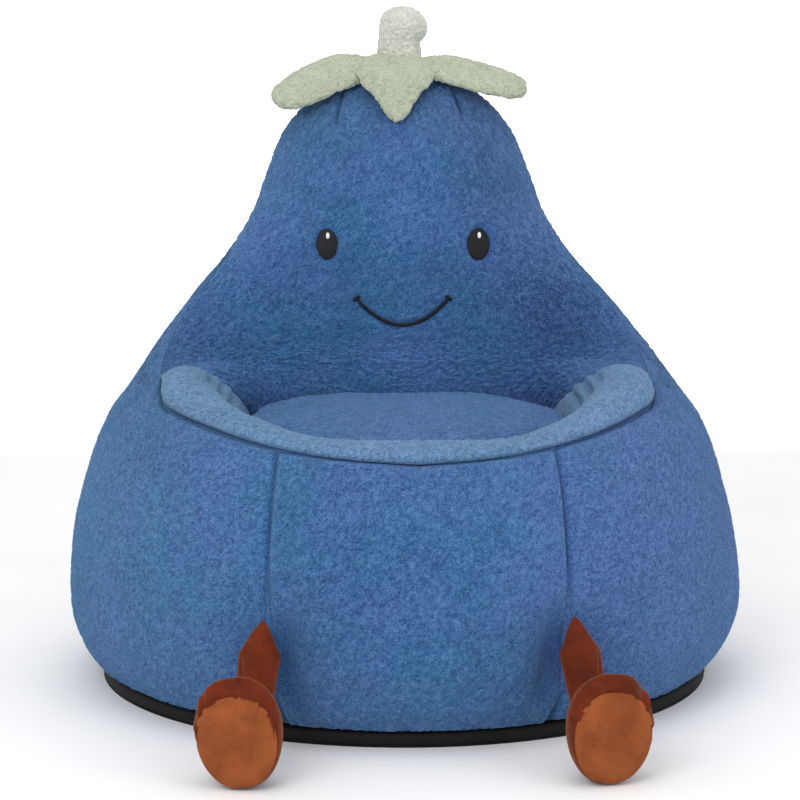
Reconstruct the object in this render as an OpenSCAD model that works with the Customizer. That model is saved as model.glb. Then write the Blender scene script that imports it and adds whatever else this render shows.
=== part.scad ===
// Plush bean bag chair in the shape of an aubergine, with a sunken seat, two stuffed legs and a leafy crown.
// Frame: origin on the floor under the middle of the base, +X to the sitter's left, -Y to the front, +Z up.
// Angles round the body start at the front (-Y) and grow towards +X.

/* [Body] */
// Greatest width of the body
body_w = 924; // [880:4:980]
// Depth of the body at its bulge
body_d = 924; // [880:4:980]
// Height of the body, from the floor to the crown under the leaves
body_h = 825; // [790:5:870]
// Thickness of the plush cover
plush_t = 6; // [4:0.5:7]
// Gap along each sewn seam
seam_gap = 1.6; // [1.2:0.2:2.4]

/* [Seat] */
// Height of the sewn-in deck under the seat cushion
deck_z = 326; // [316:2:334]
// Height of the crown of the seat cushion above the deck
cushion_h = 46; // [36:2:52]
// Half width of the seat cushion
cushion_half_w = 212; // [196:2:214]

/* [Legs] */
// Angle of the front seams, and of the legs sewn into them, from the middle of the front
leg_angle = 24; // [20:0.5:27]
// Radius of a leg at its ankle
ankle_r = 25; // [20:1:27]
// Width of a foot's sole
sole_w = 96; // [84:2:100]
// Height of a foot's sole, from its heel on the floor to its toe
sole_h = 108; // [100:2:112]
// Depth of a foot, from its sole to its ankle
foot_d = 66; // [56:2:70]

/* [Crown] */
// Radius of the disc that the leaves are sewn to
hub_r = 52; // [46:1:56]
// Length of a side leaf
leaf_l = 150; // [120:5:160]
// Thickness of a leaf at its middle
leaf_t = 20; // [14:1:22]
// Radius of the stem
stem_r = 29; // [24:1:31]

/* [Face] */
// Distance between the eyes
eye_gap = 214; // [180:2:230]
// Height of the eyes above the floor
eye_z = 578; // [570:1:600]
// Width of an eye
eye_w = 33; // [26:1:38]
// Width of the smile
smile_w = 130; // [110:2:150]

/* [Zip] */
// Half of the angle that the zip runs round the back
zip_half_angle = 60; // [40:5:75]

/* [Hidden] */

PLUSH = "#466e9e";
PLUSH_LIGHT = "#6f98be";
BROWN = "#6a2c14";
SOLE_BROWN = "#91552f";
SAGE = "#b9c2ab";
BLACK = "#1b1b1e";
LINER = "#e4e2dc";
BEADS = "#f4f3ef";

// --- curves ---------------------------------------------------------------------------------

// A table is a list of rows whose first number is the place; at() passes a smooth curve through it.
function segment(table, x, i = 0) =
    (i >= len(table) - 2 || x < table[i + 1][0]) ? i : segment(table, x, i + 1);
function slope(table, i) =
    let (a = max(i - 1, 0), b = min(i + 1, len(table) - 1))
    (table[b] - table[a]) / (table[b][0] - table[a][0]);
function at(table, x) =
    let (
        i = segment(table, x),
        h = table[i + 1][0] - table[i][0],
        s = (x - table[i][0]) / h,
        s2 = s * s,
        s3 = s2 * s
    )
    (2 * s3 - 3 * s2 + 1) * table[i] + (s3 - 2 * s2 + s) * h * slope(table, i)
    + (3 * s2 - 2 * s3) * table[i + 1] + (s3 - s2) * h * slope(table, i + 1);
function bezier(p0, p1, p2, p3, w) =
    let (v = 1 - w)
    v * v * v * p0 + 3 * v * v * w * p1 + 3 * v * w * w * p2 + w * w * w * p3;
function steps(from, to, n) = [for (i = [0:n]) from + (to - from) * i / n];
function mix(a, b, share) = a + (b - a) * share;

// --- the body's outer shape -----------------------------------------------------------------

// Shares of body_h, of half of body_w, then of half of body_d: height, half width, centre line,
// depth in front of the centre line, depth behind it.
BODY = [
    [0.022, 0.905, 0.000, 0.905, 0.905],
    [0.067, 0.966, 0.000, 0.966, 0.966],
    [0.133, 1.000, 0.000, 1.000, 1.000],
    [0.279, 0.970, 0.004, 0.978, 0.974],
    [0.424, 0.885, 0.030, 0.908, 0.909],
    [0.473, 0.824, 0.068, 0.772, 0.866],
    [0.533, 0.753, 0.195, 0.357, 0.723],
    [0.620, 0.630, 0.300, 0.250, 0.560],
    [0.679, 0.541, 0.346, 0.195, 0.468],
    [0.752, 0.457, 0.400, 0.205, 0.360],
    [0.824, 0.409, 0.433, 0.205, 0.294],
    [0.897, 0.353, 0.459, 0.184, 0.238],
    [0.958, 0.249, 0.480, 0.134, 0.164],
    [0.985, 0.150, 0.493, 0.085, 0.100]
];
// Height share of the sewn edge of the outer wall, by angle: the rim's seam as far as the arms' rear
// ends, then the face panel's.
EDGE = [
    [0, 0.424], [15, 0.431], [26, 0.440], [36, 0.450], [44, 0.458], [52, 0.466], [60, 0.478],
    [70, 0.533], [80, 0.630], [90, 0.752], [93, 0.860]
];
// Angle of the face panel's seam, by height share.
FACE_SEAM = [
    [0.478, 60], [0.504, 65.6], [0.533, 70], [0.630, 80], [0.752, 90], [0.860, 93], [1, 93]
];
// Angle of the seam between a side panel and the back at the base band.
side_seam = 100;
// The face panel's middle line: height share, share of half of body_d.
FACE_MIDDLE = [
    [0.388, 0.305], [0.450, 0.272], [0.533, 0.245], [0.620, 0.222], [0.700, 0.205],
    [0.780, 0.220], [0.850, 0.252], [0.920, 0.320], [0.985, 0.430]
];
// The crease where the arms meet the face panel: height share, half width share, depth share.
CREASE = [
    [0.388, 0.459, 0.285], [0.433, 0.501, 0.223], [0.456, 0.540, 0.166], [0.485, 0.609, 0.065],
    [0.497, 0.660, -0.015], [0.503, 0.715, -0.105]
];
// The rim, from the middle of the front to an arm's rear end: share of the way, angle of its outer
// seam, half width share and depth share of its foot in the well, rise of the outer side, lean of
// the outer side, rise of the inner side, lean of the inner side.
RIM = [
    [0, 0, 0, -0.650, 30, 0.05, 56, 0.15],
    [0.25, 22, 0.243, -0.611, 24, 0.05, 54, 0.17],
    [0.5, 44, 0.411, -0.466, 38, 0.05, 90, 0.20],
    [0.75, 60, 0.478, -0.150, 51, 0.05, 106, 0.22],
    [0.92, 64.4, 0.466, 0.150, 30, 0.10, 94, 0.22],
    [1, 65.6, 0.459, 0.285, -6, 0.25, 75, 0.45]
];

half_w = body_w / 2;
half_d = body_d / 2;
base_r = BODY[0][1] * half_w;
band_z = BODY[0][0] * body_h;
panel_t = 2;
liner_t = 1.5;
layer_gap = 2.6;
liner_in = plush_t + 4 * layer_gap;
fill_in = liner_in + liner_t + layer_gap;
crown_share = 0.985;
rim_end = 0.985;

// A point of the outer wall at an angle and a height, a distance in from the surface.
function wall_point(angle, z, inset = 0) =
    let (s = at(BODY, z / body_h), depth = (abs(angle) <= 90 || abs(angle) >= 270) ? s[3] : s[4])
    [(s[1] * half_w - inset) * sin(angle), s[2] * half_d - (depth * half_d - inset) * cos(angle), z];
function edge_z(angle) = at(EDGE, abs(angle))[1] * body_h;
function face_angle(z) = at(FACE_SEAM, max(z / body_h, FACE_SEAM[0][0]))[1];
side_top = EDGE[len(EDGE) - 1];

// Height share where rim, side panel and face panel meet.
junction = CREASE[5][0];
// Depth share of the face panel's bow at its sides; only its very edges run forward along the arms.
FACE_BOW = [
    [0.388, 0.285], [0.433, 0.237], [0.485, 0.195], [0.533, 0.190], [0.575, 0.215], [0.620, 0.257],
    [0.679, 0.328], [0.752, 0.400], [0.824, 0.444], [0.897, 0.472], [0.958, 0.489], [1, 0.500]
];
// Half width, depth of the edge and depth of the middle of the face panel at a height.
function face_edge(z, inset = 0) =
    let (share = z / body_h, top = share >= junction)
    top ? wall_point(face_angle(z), z, inset)
        : let (c = at(CREASE, share)) [c[1] * half_w - inset, c[2] * half_d, z];
function face_point(swing, z, inset = 0, run = 1) =
    let (
        edge = face_edge(z, inset),
        middle = at(FACE_MIDDLE, z / body_h)[1] * half_d + inset,
        bow = at(FACE_BOW, z / body_h)[1] * half_d + (1 - run) * inset / 2
    )
    [edge[0] * sin(swing),
        middle + (bow - middle) * (1 - cos(swing)) + run * (edge[1] - bow) * pow(abs(sin(swing)), 12), z];

// A point of the rim: way from -1 at the right arm's end to 1 at the left arm's, turn from 0 at the outer
// seam to 1 at the foot in the well.
function rim_point(way, turn, inset = 0) =
    let (
        r = at(RIM, abs(way)),
        side = way < 0 ? -1 : 1,
        p0 = wall_point(r[1], edge_z(r[1]) + seam_gap / 2, inset),
        foot = [r[2] * half_w, r[3] * half_d, deck_z + 6],
        out = [p0[0] - foot[0], p0[1] - foot[1], 0],
        p3 = foot + out * inset / norm(out),
        p1 = p0 - out * r[5] + [0, 0, r[4] - inset],
        p2 = p3 + out * r[7] + [0, 0, r[6] - inset],
        p = bezier(p0, p1, p2, p3, turn)
    )
    [side * p[0], p[1], p[2]];

// --- solids from rows of points ---------------------------------------------------------------

function two(a, b, c, d) = [[a, b, c], [a, c, d]];
function flat(lists) = [for (l = lists) for (x = l) x];

// The faces over a grid of points that starts at an index; turned faces look the other way.
function grid(first, rows, cols, last, turned = false) =
    flat([for (r = [0:rows - 2]) for (c = [0:last]) let (
            a = first + r * cols + c % cols,
            b = first + r * cols + (c + 1) % cols)
        turned ? two(a, b, b + cols, a + cols) : two(a, a + cols, b + cols, b)]);

// A sheet with an outer and an inner face, both given as rows of points.
module skin(outer, inner, closed = false) {
    rows = len(outer);
    cols = len(outer[0]);
    n = rows * cols;
    last = closed ? cols - 1 : cols - 2;
    function o(r, c) = r * cols + c % cols;
    function i(r, c) = n + o(r, c);
    faces = concat(
        grid(0, rows, cols, last),
        grid(n, rows, cols, last, turned = true),
        flat([for (c = [0:last]) two(o(0, c), o(0, c + 1), i(0, c + 1), i(0, c))]),
        flat([for (c = [0:last]) two(o(rows - 1, c + 1), o(rows - 1, c), i(rows - 1, c), i(rows - 1, c + 1))]),
        closed ? [] : flat([for (r = [0:rows - 2]) concat(
            two(o(r + 1, 0), o(r, 0), i(r, 0), i(r + 1, 0)),
            two(o(r, cols - 1), o(r + 1, cols - 1), i(r + 1, cols - 1), i(r, cols - 1))
        )])
    );
    polyhedron(concat(flat(outer), flat(inner)), faces, convexity = 6);
}

// A cap with an outer and an inner face, open at its first ring and closed over at its last.
module dome(outer, inner) {
    rows = len(outer);
    n = len(outer[0]);
    all = rows * n;
    top = 2 * all;
    function o(r, c) = r * n + c % n;
    function i(r, c) = all + o(r, c);
    faces = concat(
        grid(0, rows, n, n - 1),
        grid(all, rows, n, n - 1, turned = true),
        flat([for (c = [0:n - 1]) two(o(0, c), o(0, c + 1), i(0, c + 1), i(0, c))]),
        [for (c = [0:n - 1]) [top, o(rows - 1, c + 1), o(rows - 1, c)]],
        [for (c = [0:n - 1]) [top + 1, i(rows - 1, c), i(rows - 1, c + 1)]]
    );
    middles = [middle_of(outer[rows - 1]), middle_of(inner[rows - 1])];
    polyhedron(concat(flat(outer), flat(inner), middles), faces, convexity = 4);
}

function middle_of(ring) =
    [for (k = [0:2]) let (s = [for (p = ring) p[k]]) (s * [for (p = ring) 1]) / len(ring)];

// A solid through a list of closed rings, with a point in the middle of each end.
module loft(rings) {
    n = len(rings[0]);
    rows = len(rings);
    foot = rows * n;
    function o(r, c) = r * n + c % n;
    faces = concat(
        grid(0, rows, n, n - 1),
        [for (c = [0:n - 1]) [foot, o(0, c), o(0, c + 1)]],
        [for (c = [0:n - 1]) [foot + 1, o(rows - 1, c + 1), o(rows - 1, c)]]
    );
    polyhedron(concat(flat(rings), [middle_of(rings[0]), middle_of(rings[rows - 1])]), faces, convexity = 4);
}

// A ring round a point, in the plane of two directions, as wide as the two radii.
function ring(centre, across, up, ra, rb, n = 16) =
    [for (i = [0:n - 1]) centre + across * ra * cos(360 * i / n) + up * rb * sin(360 * i / n)];

// --- base -------------------------------------------------------------------------------------

module base_panel() color(BLACK) cylinder(r = base_r - 1, h = panel_t, $fn = 96);

module base_band() color(BLACK)
    translate([0, 0, panel_t + 0.2]) difference() {
        height = band_z - panel_t - 0.6;
        cylinder(r = base_r - 1, h = height, $fn = 96);
        translate([0, 0, -1]) cylinder(r = base_r - 4, h = height + 2, $fn = 96);
    }

// --- plush panels of the outer wall -----------------------------------------------------------

function gap_angle(z) = seam_gap / 2 / wall_point(90, z)[0] * 180 / PI;

// Heights from the base band up, closer together at the foot, where the wall curves most.
function foot_steps(top, rows) = [for (v = steps(0, 1, rows)) mix(band_z, top, pow(v, 1.35))];

// A panel from the base band to the sewn edge. Its side seams run from one pair of angles to another.
function wall_rows(low, high, cols, rows, inset) =
    [for (i = [0:rows]) [for (u = steps(0, 1, cols)) let (
            top = mix(high[0], high[1], u),
            drop = seam_gap / 2 + (abs(top) > 62 ? 16 : 0),
            z = foot_steps(edge_z(top) - drop, rows)[i],
            share = (z - band_z) / (edge_z(top) - drop - band_z))
        wall_point(mix(mix(low[0], low[1], u), top, share), z, inset)]];

module wall_panel(low, high, cols, rows)
    skin(wall_rows(low, high, cols, rows, 0), wall_rows(low, high, cols, rows, plush_t));

// The front seams lean outward a little as they rise.
front_low = leg_angle - 1.1;
front_top = leg_angle + 1.4;
module front_panel() color(PLUSH)
    wall_panel([-front_low + 0.1, front_low - 0.1], [-front_top + 0.1, front_top - 0.1], 12, 10);

side_rows = 15;
module side_panel() color(PLUSH)
    wall_panel([front_low + 0.1, side_seam - 0.1], [front_top + 0.1, side_top[0] - 0.3], 20, side_rows);

// The back's lower rows meet the side panel's, and its upper ones run on beside the face panel.
seam_top_z = side_top[1] * body_h - seam_gap / 2 - 16;
back_z = concat(
    foot_steps(seam_top_z, side_rows),
    [for (v = [0.25, 0.5, 0.75, 1]) mix(seam_top_z, crown_share * body_h, v)]
);
function back_angle(z) =
    z < seam_top_z ? mix(side_seam, side_top[0], (z - band_z) / (seam_top_z - band_z)) : side_top[0];
function back_rows(inset, cols = 14) =
    [for (z = back_z) let (g = gap_angle(z), face_gap = z >= seam_top_z ? 3 * g : g)
        [for (angle = steps(back_angle(z) + face_gap, 180 - g, cols)) wall_point(angle, z, inset)]];

module back_panel() color(PLUSH) skin(back_rows(0), back_rows(plush_t));

face_z = [for (v = steps(0, 1, 18)) mix(deck_z + 8, crown_share * body_h, v)];
face_cols = 22;
function face_rows(inset) =
    [for (z = face_z)
        [for (swing = steps(-87, 87, face_cols)) face_point(swing, z, inset)
            - [0, z > junction * body_h ? seam_gap / 2 : 0, 0]]];

module face_panel() color(PLUSH) skin(face_rows(0), face_rows(plush_t));

function rim_rows(inset, cols = 36, rows = 9) =
    [for (turn = steps(0, 1, rows)) [for (way = steps(-rim_end, rim_end, cols)) rim_point(way, turn, inset)]];

module rim_band() color(PLUSH_LIGHT) skin(rim_rows(0), rim_rows(plush_t));

crown = at(BODY, crown_share);
crown_y = crown[2] * half_d;
crown_z = crown_share * body_h;

module crown_patch() color(PLUSH)
    translate([0, crown_y, crown_z + 0.6])
        cylinder(r = crown[1] * half_w * 0.7, h = plush_t, $fn = 48);

// --- seat --------------------------------------------------------------------------------------

// A rounded square outline: a superellipse round a centre.
function rounded(half_x, half_y, power, n = 40) =
    [for (i = [0:n - 1]) let (c = cos(360 * i / n), s = sin(360 * i / n))
        [half_x * sign(c) * pow(abs(c), 2 / power), half_y * sign(s) * pow(abs(s), 2 / power)]];

well_front = RIM[0][3] * half_d;
well_back = FACE_MIDDLE[0][1] * half_d;
well_y = (well_front + well_back) / 2;
cushion_half_d = (well_back - well_front) / 2 - 9;
cushion_power = 2.5;

module well_deck() color(PLUSH)
    translate([0, well_y, deck_z])
        linear_extrude(5) polygon(rounded(cushion_half_w + 10, cushion_half_d + 16, cushion_power));

// Rings of the cushion from its seam up to near its crown.
function cushion_ring(share, inset = 0, lift = 0) =
    let (k = cos(90 * share), h = (cushion_h - inset) * sin(90 * share))
    [for (p = rounded((cushion_half_w - inset) * k, (cushion_half_d - inset) * k, cushion_power))
        [p[0], well_y + p[1], deck_z + 6 + lift + h]];

module seat_cushion_cover() color(PLUSH)
    dome([for (share = steps(0, 0.93, 6)) cushion_ring(share)],
         [for (share = steps(0, 0.93, 6)) cushion_ring(share, plush_t)]);

module seat_cushion_pad() color(BEADS)
    loft([for (share = steps(0, 0.93, 6)) cushion_ring(share, plush_t + 1.5, 0.3)]);

// --- liner and bead fillings --------------------------------------------------------------------

function body_ring(z, inset, n = 48) = [for (i = [0:n - 1]) wall_point(360 * i / n, z, inset)];
liner_z = concat([panel_t + 4], foot_steps(deck_z - 3, 8));

// The body's rounded foot narrows below its first station, so rings there keep that station's outline.
function inner_ring(z, inset) =
    [for (p = body_ring(max(z, band_z), inset)) [p[0], p[1], z]];

module seat_liner_wall() color(LINER)
    skin([for (z = liner_z) inner_ring(z, liner_in)],
         [for (z = liner_z) inner_ring(z, liner_in + liner_t)], closed = true);

module liner_disc(z, inset) color(LINER)
    translate([0, 0, z]) linear_extrude(liner_t)
        polygon([for (p = inner_ring(z, inset)) [p[0], p[1]]]);

module seat_liner_floor() liner_disc(panel_t + 0.6, fill_in);
module seat_liner_top() liner_disc(deck_z - 2, fill_in);

module seat_bead_fill() color(BEADS)
    loft([for (z = concat([panel_t + 4], foot_steps(deck_z - 4, 8))) inner_ring(z, fill_in)]);

bolster_z = deck_z + 2;
// The bolster's section: up the wall, over the rim and down to the deck.
function bolster_ring(way) =
    let (
        r = at(RIM, abs(way)),
        side = way < 0 ? -1 : 1,
        low = wall_point(r[1], bolster_z, fill_in),
        crest = [for (turn = steps(0.06, 0.97, 9)) rim_point(way, turn, fill_in + 1)],
        foot = crest[9]
    )
    concat([[side * low[0], low[1], bolster_z]], crest, [[foot[0], foot[1], bolster_z]]);

module bolster_bead_fill() color(BEADS)
    loft([for (way = steps(rim_end - 0.05, -rim_end + 0.05, 32)) bolster_ring(way)]);

function back_fill_angle(z) =
    let (low = 108, share = z / body_h)
    share < 0.55 ? low
        : share > 0.64 ? face_angle(z)
        : mix(low, face_angle(0.64 * body_h), (share - 0.55) / 0.09);
// The back filling's section: along the face panel, then round the back.
function back_fill_ring(z) =
    let (from = back_fill_angle(z) + 2)
    concat([for (swing = steps(-84, 84, face_cols)) face_point(swing, z, fill_in, z < 0.6 * body_h ? 0 : 1)],
           [for (angle = steps(from, 360 - from, 18)) wall_point(angle, z, fill_in)]);

module back_bead_fill() color(BEADS)
    loft([for (i = [0:16]) back_fill_ring(face_z[i] + 2)]);

// --- face ---------------------------------------------------------------------------------------

stitch_t = 1.6;
function face_swing(x, z) = asin(x / face_edge(z)[0]);
// A point on the face at a place across and a height, a distance out of the plush.
function on_face(x, z, out = 0) = face_point(face_swing(x, z), z) - [0, out + seam_gap / 2 + 0.6, 0];

module stitched_oval(x, z, w, h, out) {
    places = [for (k = [1, 0.5]) [for (i = [0:19]) [x + w / 2 * k * cos(18 * i), z + h / 2 * k * sin(18 * i)]]];
    front = [for (row = places) [for (p = row) on_face(p[0], p[1], out + stitch_t)]];
    back = [for (row = places) [for (p = row) on_face(p[0], p[1], out)]];
    loft([back[1], back[0], front[0], front[1]]);
}

module eye(side) color(BLACK) stitched_oval(side * eye_gap / 2, eye_z, eye_w, eye_w * 1.4, 0);
module glint(side) color("white")
    stitched_oval(side * eye_gap / 2 + 1, eye_z + eye_w * 0.38, eye_w * 0.17, eye_w * 0.3, stitch_t + 0.3);

smile_z = 501;
smile_drop = 38;
thread_r = 2.6;
module smile() color(BLACK) {
    line = [for (s = steps(-1, 1, 20))
        on_face(s * smile_w / 2, smile_z - smile_drop * (1 - s * s), thread_r * 0.5)];
    loft([for (i = [0:20]) let (
            along = line[min(i + 1, 20)] - line[max(i - 1, 0)],
            dir = along / norm(along),
            across = cross(dir, [0, 1, 0]))
        ring(line[i], across, cross(dir, across), thread_r, thread_r * 0.5, 8)]);
}

// --- legs and feet --------------------------------------------------------------------------------

hip_z = 165;
hip = wall_point(leg_angle, hip_z) + [2, -7, 0];
foot_centre = [218, -583, sole_h / 2 + 3];
foot_yaw = 12;
foot_roll = 9;
foot_lean = 4;
leg_fill_in = 5.5;
ankle_lift = 0.13;

// The foot's own frame: its sole stands in the XZ plane and faces -Y, with its heel at the bottom.
function foot_point(p) =
    let (
        a = [p[0] * cos(foot_yaw) - p[1] * sin(foot_yaw), p[0] * sin(foot_yaw) + p[1] * cos(foot_yaw), p[2]],
        b = [a[0] * cos(foot_roll) + a[2] * sin(foot_roll), a[1], a[2] * cos(foot_roll) - a[0] * sin(foot_roll)],
        c = [b[0], b[1] * cos(foot_lean) + b[2] * sin(foot_lean), b[2] * cos(foot_lean) - b[1] * sin(foot_lean)]
    )
    foot_centre + c;
ankle = foot_point([0, foot_d + 6, ankle_lift * sole_h]);

// The leg hangs from a point in the seam and bends forward into the back of the foot.
foot_axis = foot_point([0, 1, 0]) - foot_point([0, 0, 0]);
function leg_centre(share) =
    bezier(hip, mix(hip, ankle, 0.3) + [0, 6, -8], ankle + foot_axis * 34, ankle, share);
function leg_ring(share, inset) =
    let (
        path = leg_centre(min(1, share + 0.01)) - leg_centre(share - 0.01),
        dir = path / norm(path),
        across = cross(dir, [0, 0, 1]) / norm(cross(dir, [0, 0, 1])),
        up = cross(dir, across),
        grow = sqrt(min(1, share / 0.35 + 0.03)),
        centre = leg_centre(share)
    )
    ring(centre, across, up,
        (ankle_r - 3 * (1 - share)) * grow - inset, (ankle_r - 2 * (1 - share)) * grow - inset);

module leg_shape(from, to, inset) loft([for (share = steps(from, to, 8)) leg_ring(share, inset)]);

module leg() color(BROWN)
    skin([for (share = steps(0.03, 1, 8)) leg_ring(share, 0)],
         [for (share = steps(0.03, 1, 8)) leg_ring(share, 2)], closed = true);
module leg_filling() color(BEADS) leg_shape(0.36, 0.98, leg_fill_in);

// A slice of the foot, a way back from the sole.
sole_t = 5;
function foot_ring(back, w, h, lift, n = 24) =
    [for (i = [0:n - 1]) let (c = cos(360 * i / n), s = -sin(360 * i / n))
        foot_point([w / 2 * sign(c) * pow(abs(c), 0.86) * (1 + 0.06 * s), back, lift + h / 2 * s])];
// Slices from the sole to the ankle: share of the way back, shares of the sole's width and height, lift.
FOOT = [
    [0, 1, 1, 0], [0.3, 1.04, 1.14, 0.06], [0.62, 0.98, 1.02, 0.07], [0.85, 0.79, 0.80, 0.10],
    [1, 0.52, 0.47, ankle_lift]
];
function foot_rings(inset, from) =
    [for (f = FOOT) foot_ring(from + (foot_d - from - inset / 2) * f[0],
        sole_w * f[1] - 2 * inset, sole_h * f[2] - 2 * inset, f[3] * sole_h)];

module foot_upper() color(BROWN) skin(foot_rings(0, 0), foot_rings(2, 0), closed = true);
module foot_sole() color(SOLE_BROWN)
    loft([foot_ring(-sole_t - 0.3, sole_w * 0.93, sole_h * 0.93, 0),
        foot_ring(-sole_t * 0.6, sole_w * 0.99, sole_h * 0.99, 0),
        foot_ring(-0.3, sole_w, sole_h, 0)]);
module foot_filling() color(BEADS) loft(foot_rings(6, 5));

// --- crown ----------------------------------------------------------------------------------------

hub_z = crown_z + plush_t + 1.4;
hub_h = 18;
module calyx_hub() color(SAGE)
    translate([0, crown_y, hub_z]) rotate_extrude($fn = 64)
        polygon([
            [0, 0], [hub_r, 0], [hub_r, hub_h * 0.55], [hub_r * 0.8, hub_h * 0.9],
            [hub_r * 0.62, hub_h], [0, hub_h]
        ]);

// Half width of a leaf along its length, in shares of its length.
LEAF = [[0, 0.17], [0.16, 0.22], [0.38, 0.25], [0.65, 0.20], [0.88, 0.125], [0.97, 0.08], [1, 0.03]];
leaf_root = hub_r + 6;
// A leaf lies along a bow that starts level and droops.
module leaf(heading, length, droop_start, droop_end, n = 9) {
    root = [0, crown_y, hub_z + hub_h * 0.42];
    out = [sin(heading), -cos(heading), 0];
    side = [cos(heading), sin(heading), 0];
    function droop(s) = droop_start + (droop_end - droop_start) * s;
    function walk(i) = i == 0 ? root + out * leaf_root
        : walk(i - 1) + (out * cos(droop((i - 0.5) / n)) - [0, 0, sin(droop((i - 0.5) / n))]) * length / n;
    rings = [for (i = [0:n]) let (
            s = i / n,
            half = at(LEAF, s)[1] * length,
            thick = leaf_t / 2 * (0.45 + 0.55 * sin(180 * min(1, s * 0.85 + 0.12))),
            up = out * sin(droop(s)) + [0, 0, cos(droop(s))])
        ring(walk(i), side, up, half, s == 1 ? thick * 0.4 : thick, 14)];
    color(SAGE) loft(rings);
}

stem_base = [0, crown_y, hub_z + hub_h + 3];
// The stem leans to one side and ends in a blunt, rounded tip.
// Rows: share of the length, lean, rise, share of stem_r, tilt of the section.
STEM = [
    [0, 0, 0, 0.35, 0], [0.1, 0, 8, 0.93, 0], [0.3, 1, 17, 0.98, 4], [0.55, 4, 33, 1.04, 14],
    [0.8, 10, 47, 1.04, 34], [1, 18, 57, 0.55, 50]
];
function stem_ring(share, inset) =
    let (s = at(STEM, share), tilt = s[4])
    ring(stem_base + [s[1], 0, s[2]], [cos(tilt), 0, -sin(tilt)], [0, 1, 0],
        stem_r * s[3] - inset, stem_r * s[3] - inset, 18);
module stem() color(SAGE)
    dome([for (share = steps(0, 1, 10)) stem_ring(share, 0)],
         [for (share = steps(0, 0.93, 10)) stem_ring(share, 4)]);
module stem_filling() color(BEADS) loft([for (share = steps(0.02, 0.9, 10)) stem_ring(share, 5.5)]);

// --- zip --------------------------------------------------------------------------------------------

zip_z = (band_z + panel_t) / 2;
zip_r = base_r - 0.6;
chain_h = 5;
module round_back(half_angle, r_in, r_out, z, h)
    translate([0, 0, z]) rotate([0, 0, 90 - half_angle])
        rotate_extrude(angle = 2 * half_angle, $fn = 180)
            translate([r_in, 0]) square([r_out - r_in, h]);

module zip_tape() color(BLACK) round_back(zip_half_angle + 1, zip_r, zip_r + 0.8, zip_z - 6, 12);
module zip_chain() color("#2b2b2f")
    round_back(zip_half_angle, zip_r + 1, zip_r + 3, zip_z - chain_h / 2, chain_h);
module zip_stops() color("silver")
    for (end = [-1, 1]) rotate([0, 0, end * (zip_half_angle + 0.35)])
        translate([-1.2, zip_r + 1, zip_z - 3]) cube([2.4, 2.4, 6]);

slider_angle = zip_half_angle - 1.6;
slider_l = 12;
module at_slider() rotate([0, 0, slider_angle]) translate([0, zip_r + 3, zip_z]) children();
// The slider straddles the chain: a cap outside it, with a bridge that holds the pull.
module zip_slider() color("silver") at_slider() {
    translate([-slider_l / 2, 0.5, -4.5]) cube([slider_l, 1.6, 9]);
    for (z = [-3.4, 2.2]) translate([-2.4, 2.1, z]) cube([4.8, 2.6, 1.2]);
}
module zip_pull() color("silver") at_slider() {
    translate([0, 3.4, 0]) cylinder(r = 0.8, h = 4.2, center = true, $fn = 24);
    translate([0.4, 2.7, -1.9]) cube([22, 1.4, 3.8]);
}

// --- nodes --------------------------------------------------------------------------------------------

module other_side() mirror([1, 0, 0]) children();

base_panel();
base_band();
front_panel();
side_panel();  // left_side_panel
other_side() side_panel();  // right_side_panel
back_panel();  // left_back_panel
other_side() back_panel();  // right_back_panel
face_panel();
rim_band();
well_deck();
crown_patch();
seat_cushion_cover();
seat_cushion_pad();
seat_liner_wall();
seat_liner_floor();
seat_liner_top();
seat_bead_fill();
bolster_bead_fill();
back_bead_fill();
eye(1);  // left_eye
eye(-1);  // right_eye
glint(1);  // left_eye_glint
glint(-1);  // right_eye_glint
smile();
leg();  // left_leg
other_side() leg();  // right_leg
leg_filling();  // left_leg_filling
other_side() leg_filling();  // right_leg_filling
foot_upper();  // left_foot_upper
other_side() foot_upper();  // right_foot_upper
foot_sole();  // left_foot_sole
other_side() foot_sole();  // right_foot_sole
foot_filling();  // left_foot_filling
other_side() foot_filling();  // right_foot_filling
calyx_hub();
leaf(0, 0.64 * leaf_l, 34, 74);  // front_leaf
leaf(70, leaf_l, 0, 36);  // left_leaf
leaf(-70, leaf_l, 0, 44);  // right_leaf
leaf(128, leaf_l, 14, 66);  // left_rear_leaf
leaf(-128, leaf_l, 14, 66);  // right_rear_leaf
stem();
stem_filling();
zip_tape();
zip_chain();
zip_stops();
zip_slider();
zip_pull();
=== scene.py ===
"""Plush bean bag chair in the shape of an aubergine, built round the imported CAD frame."""
import math

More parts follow.
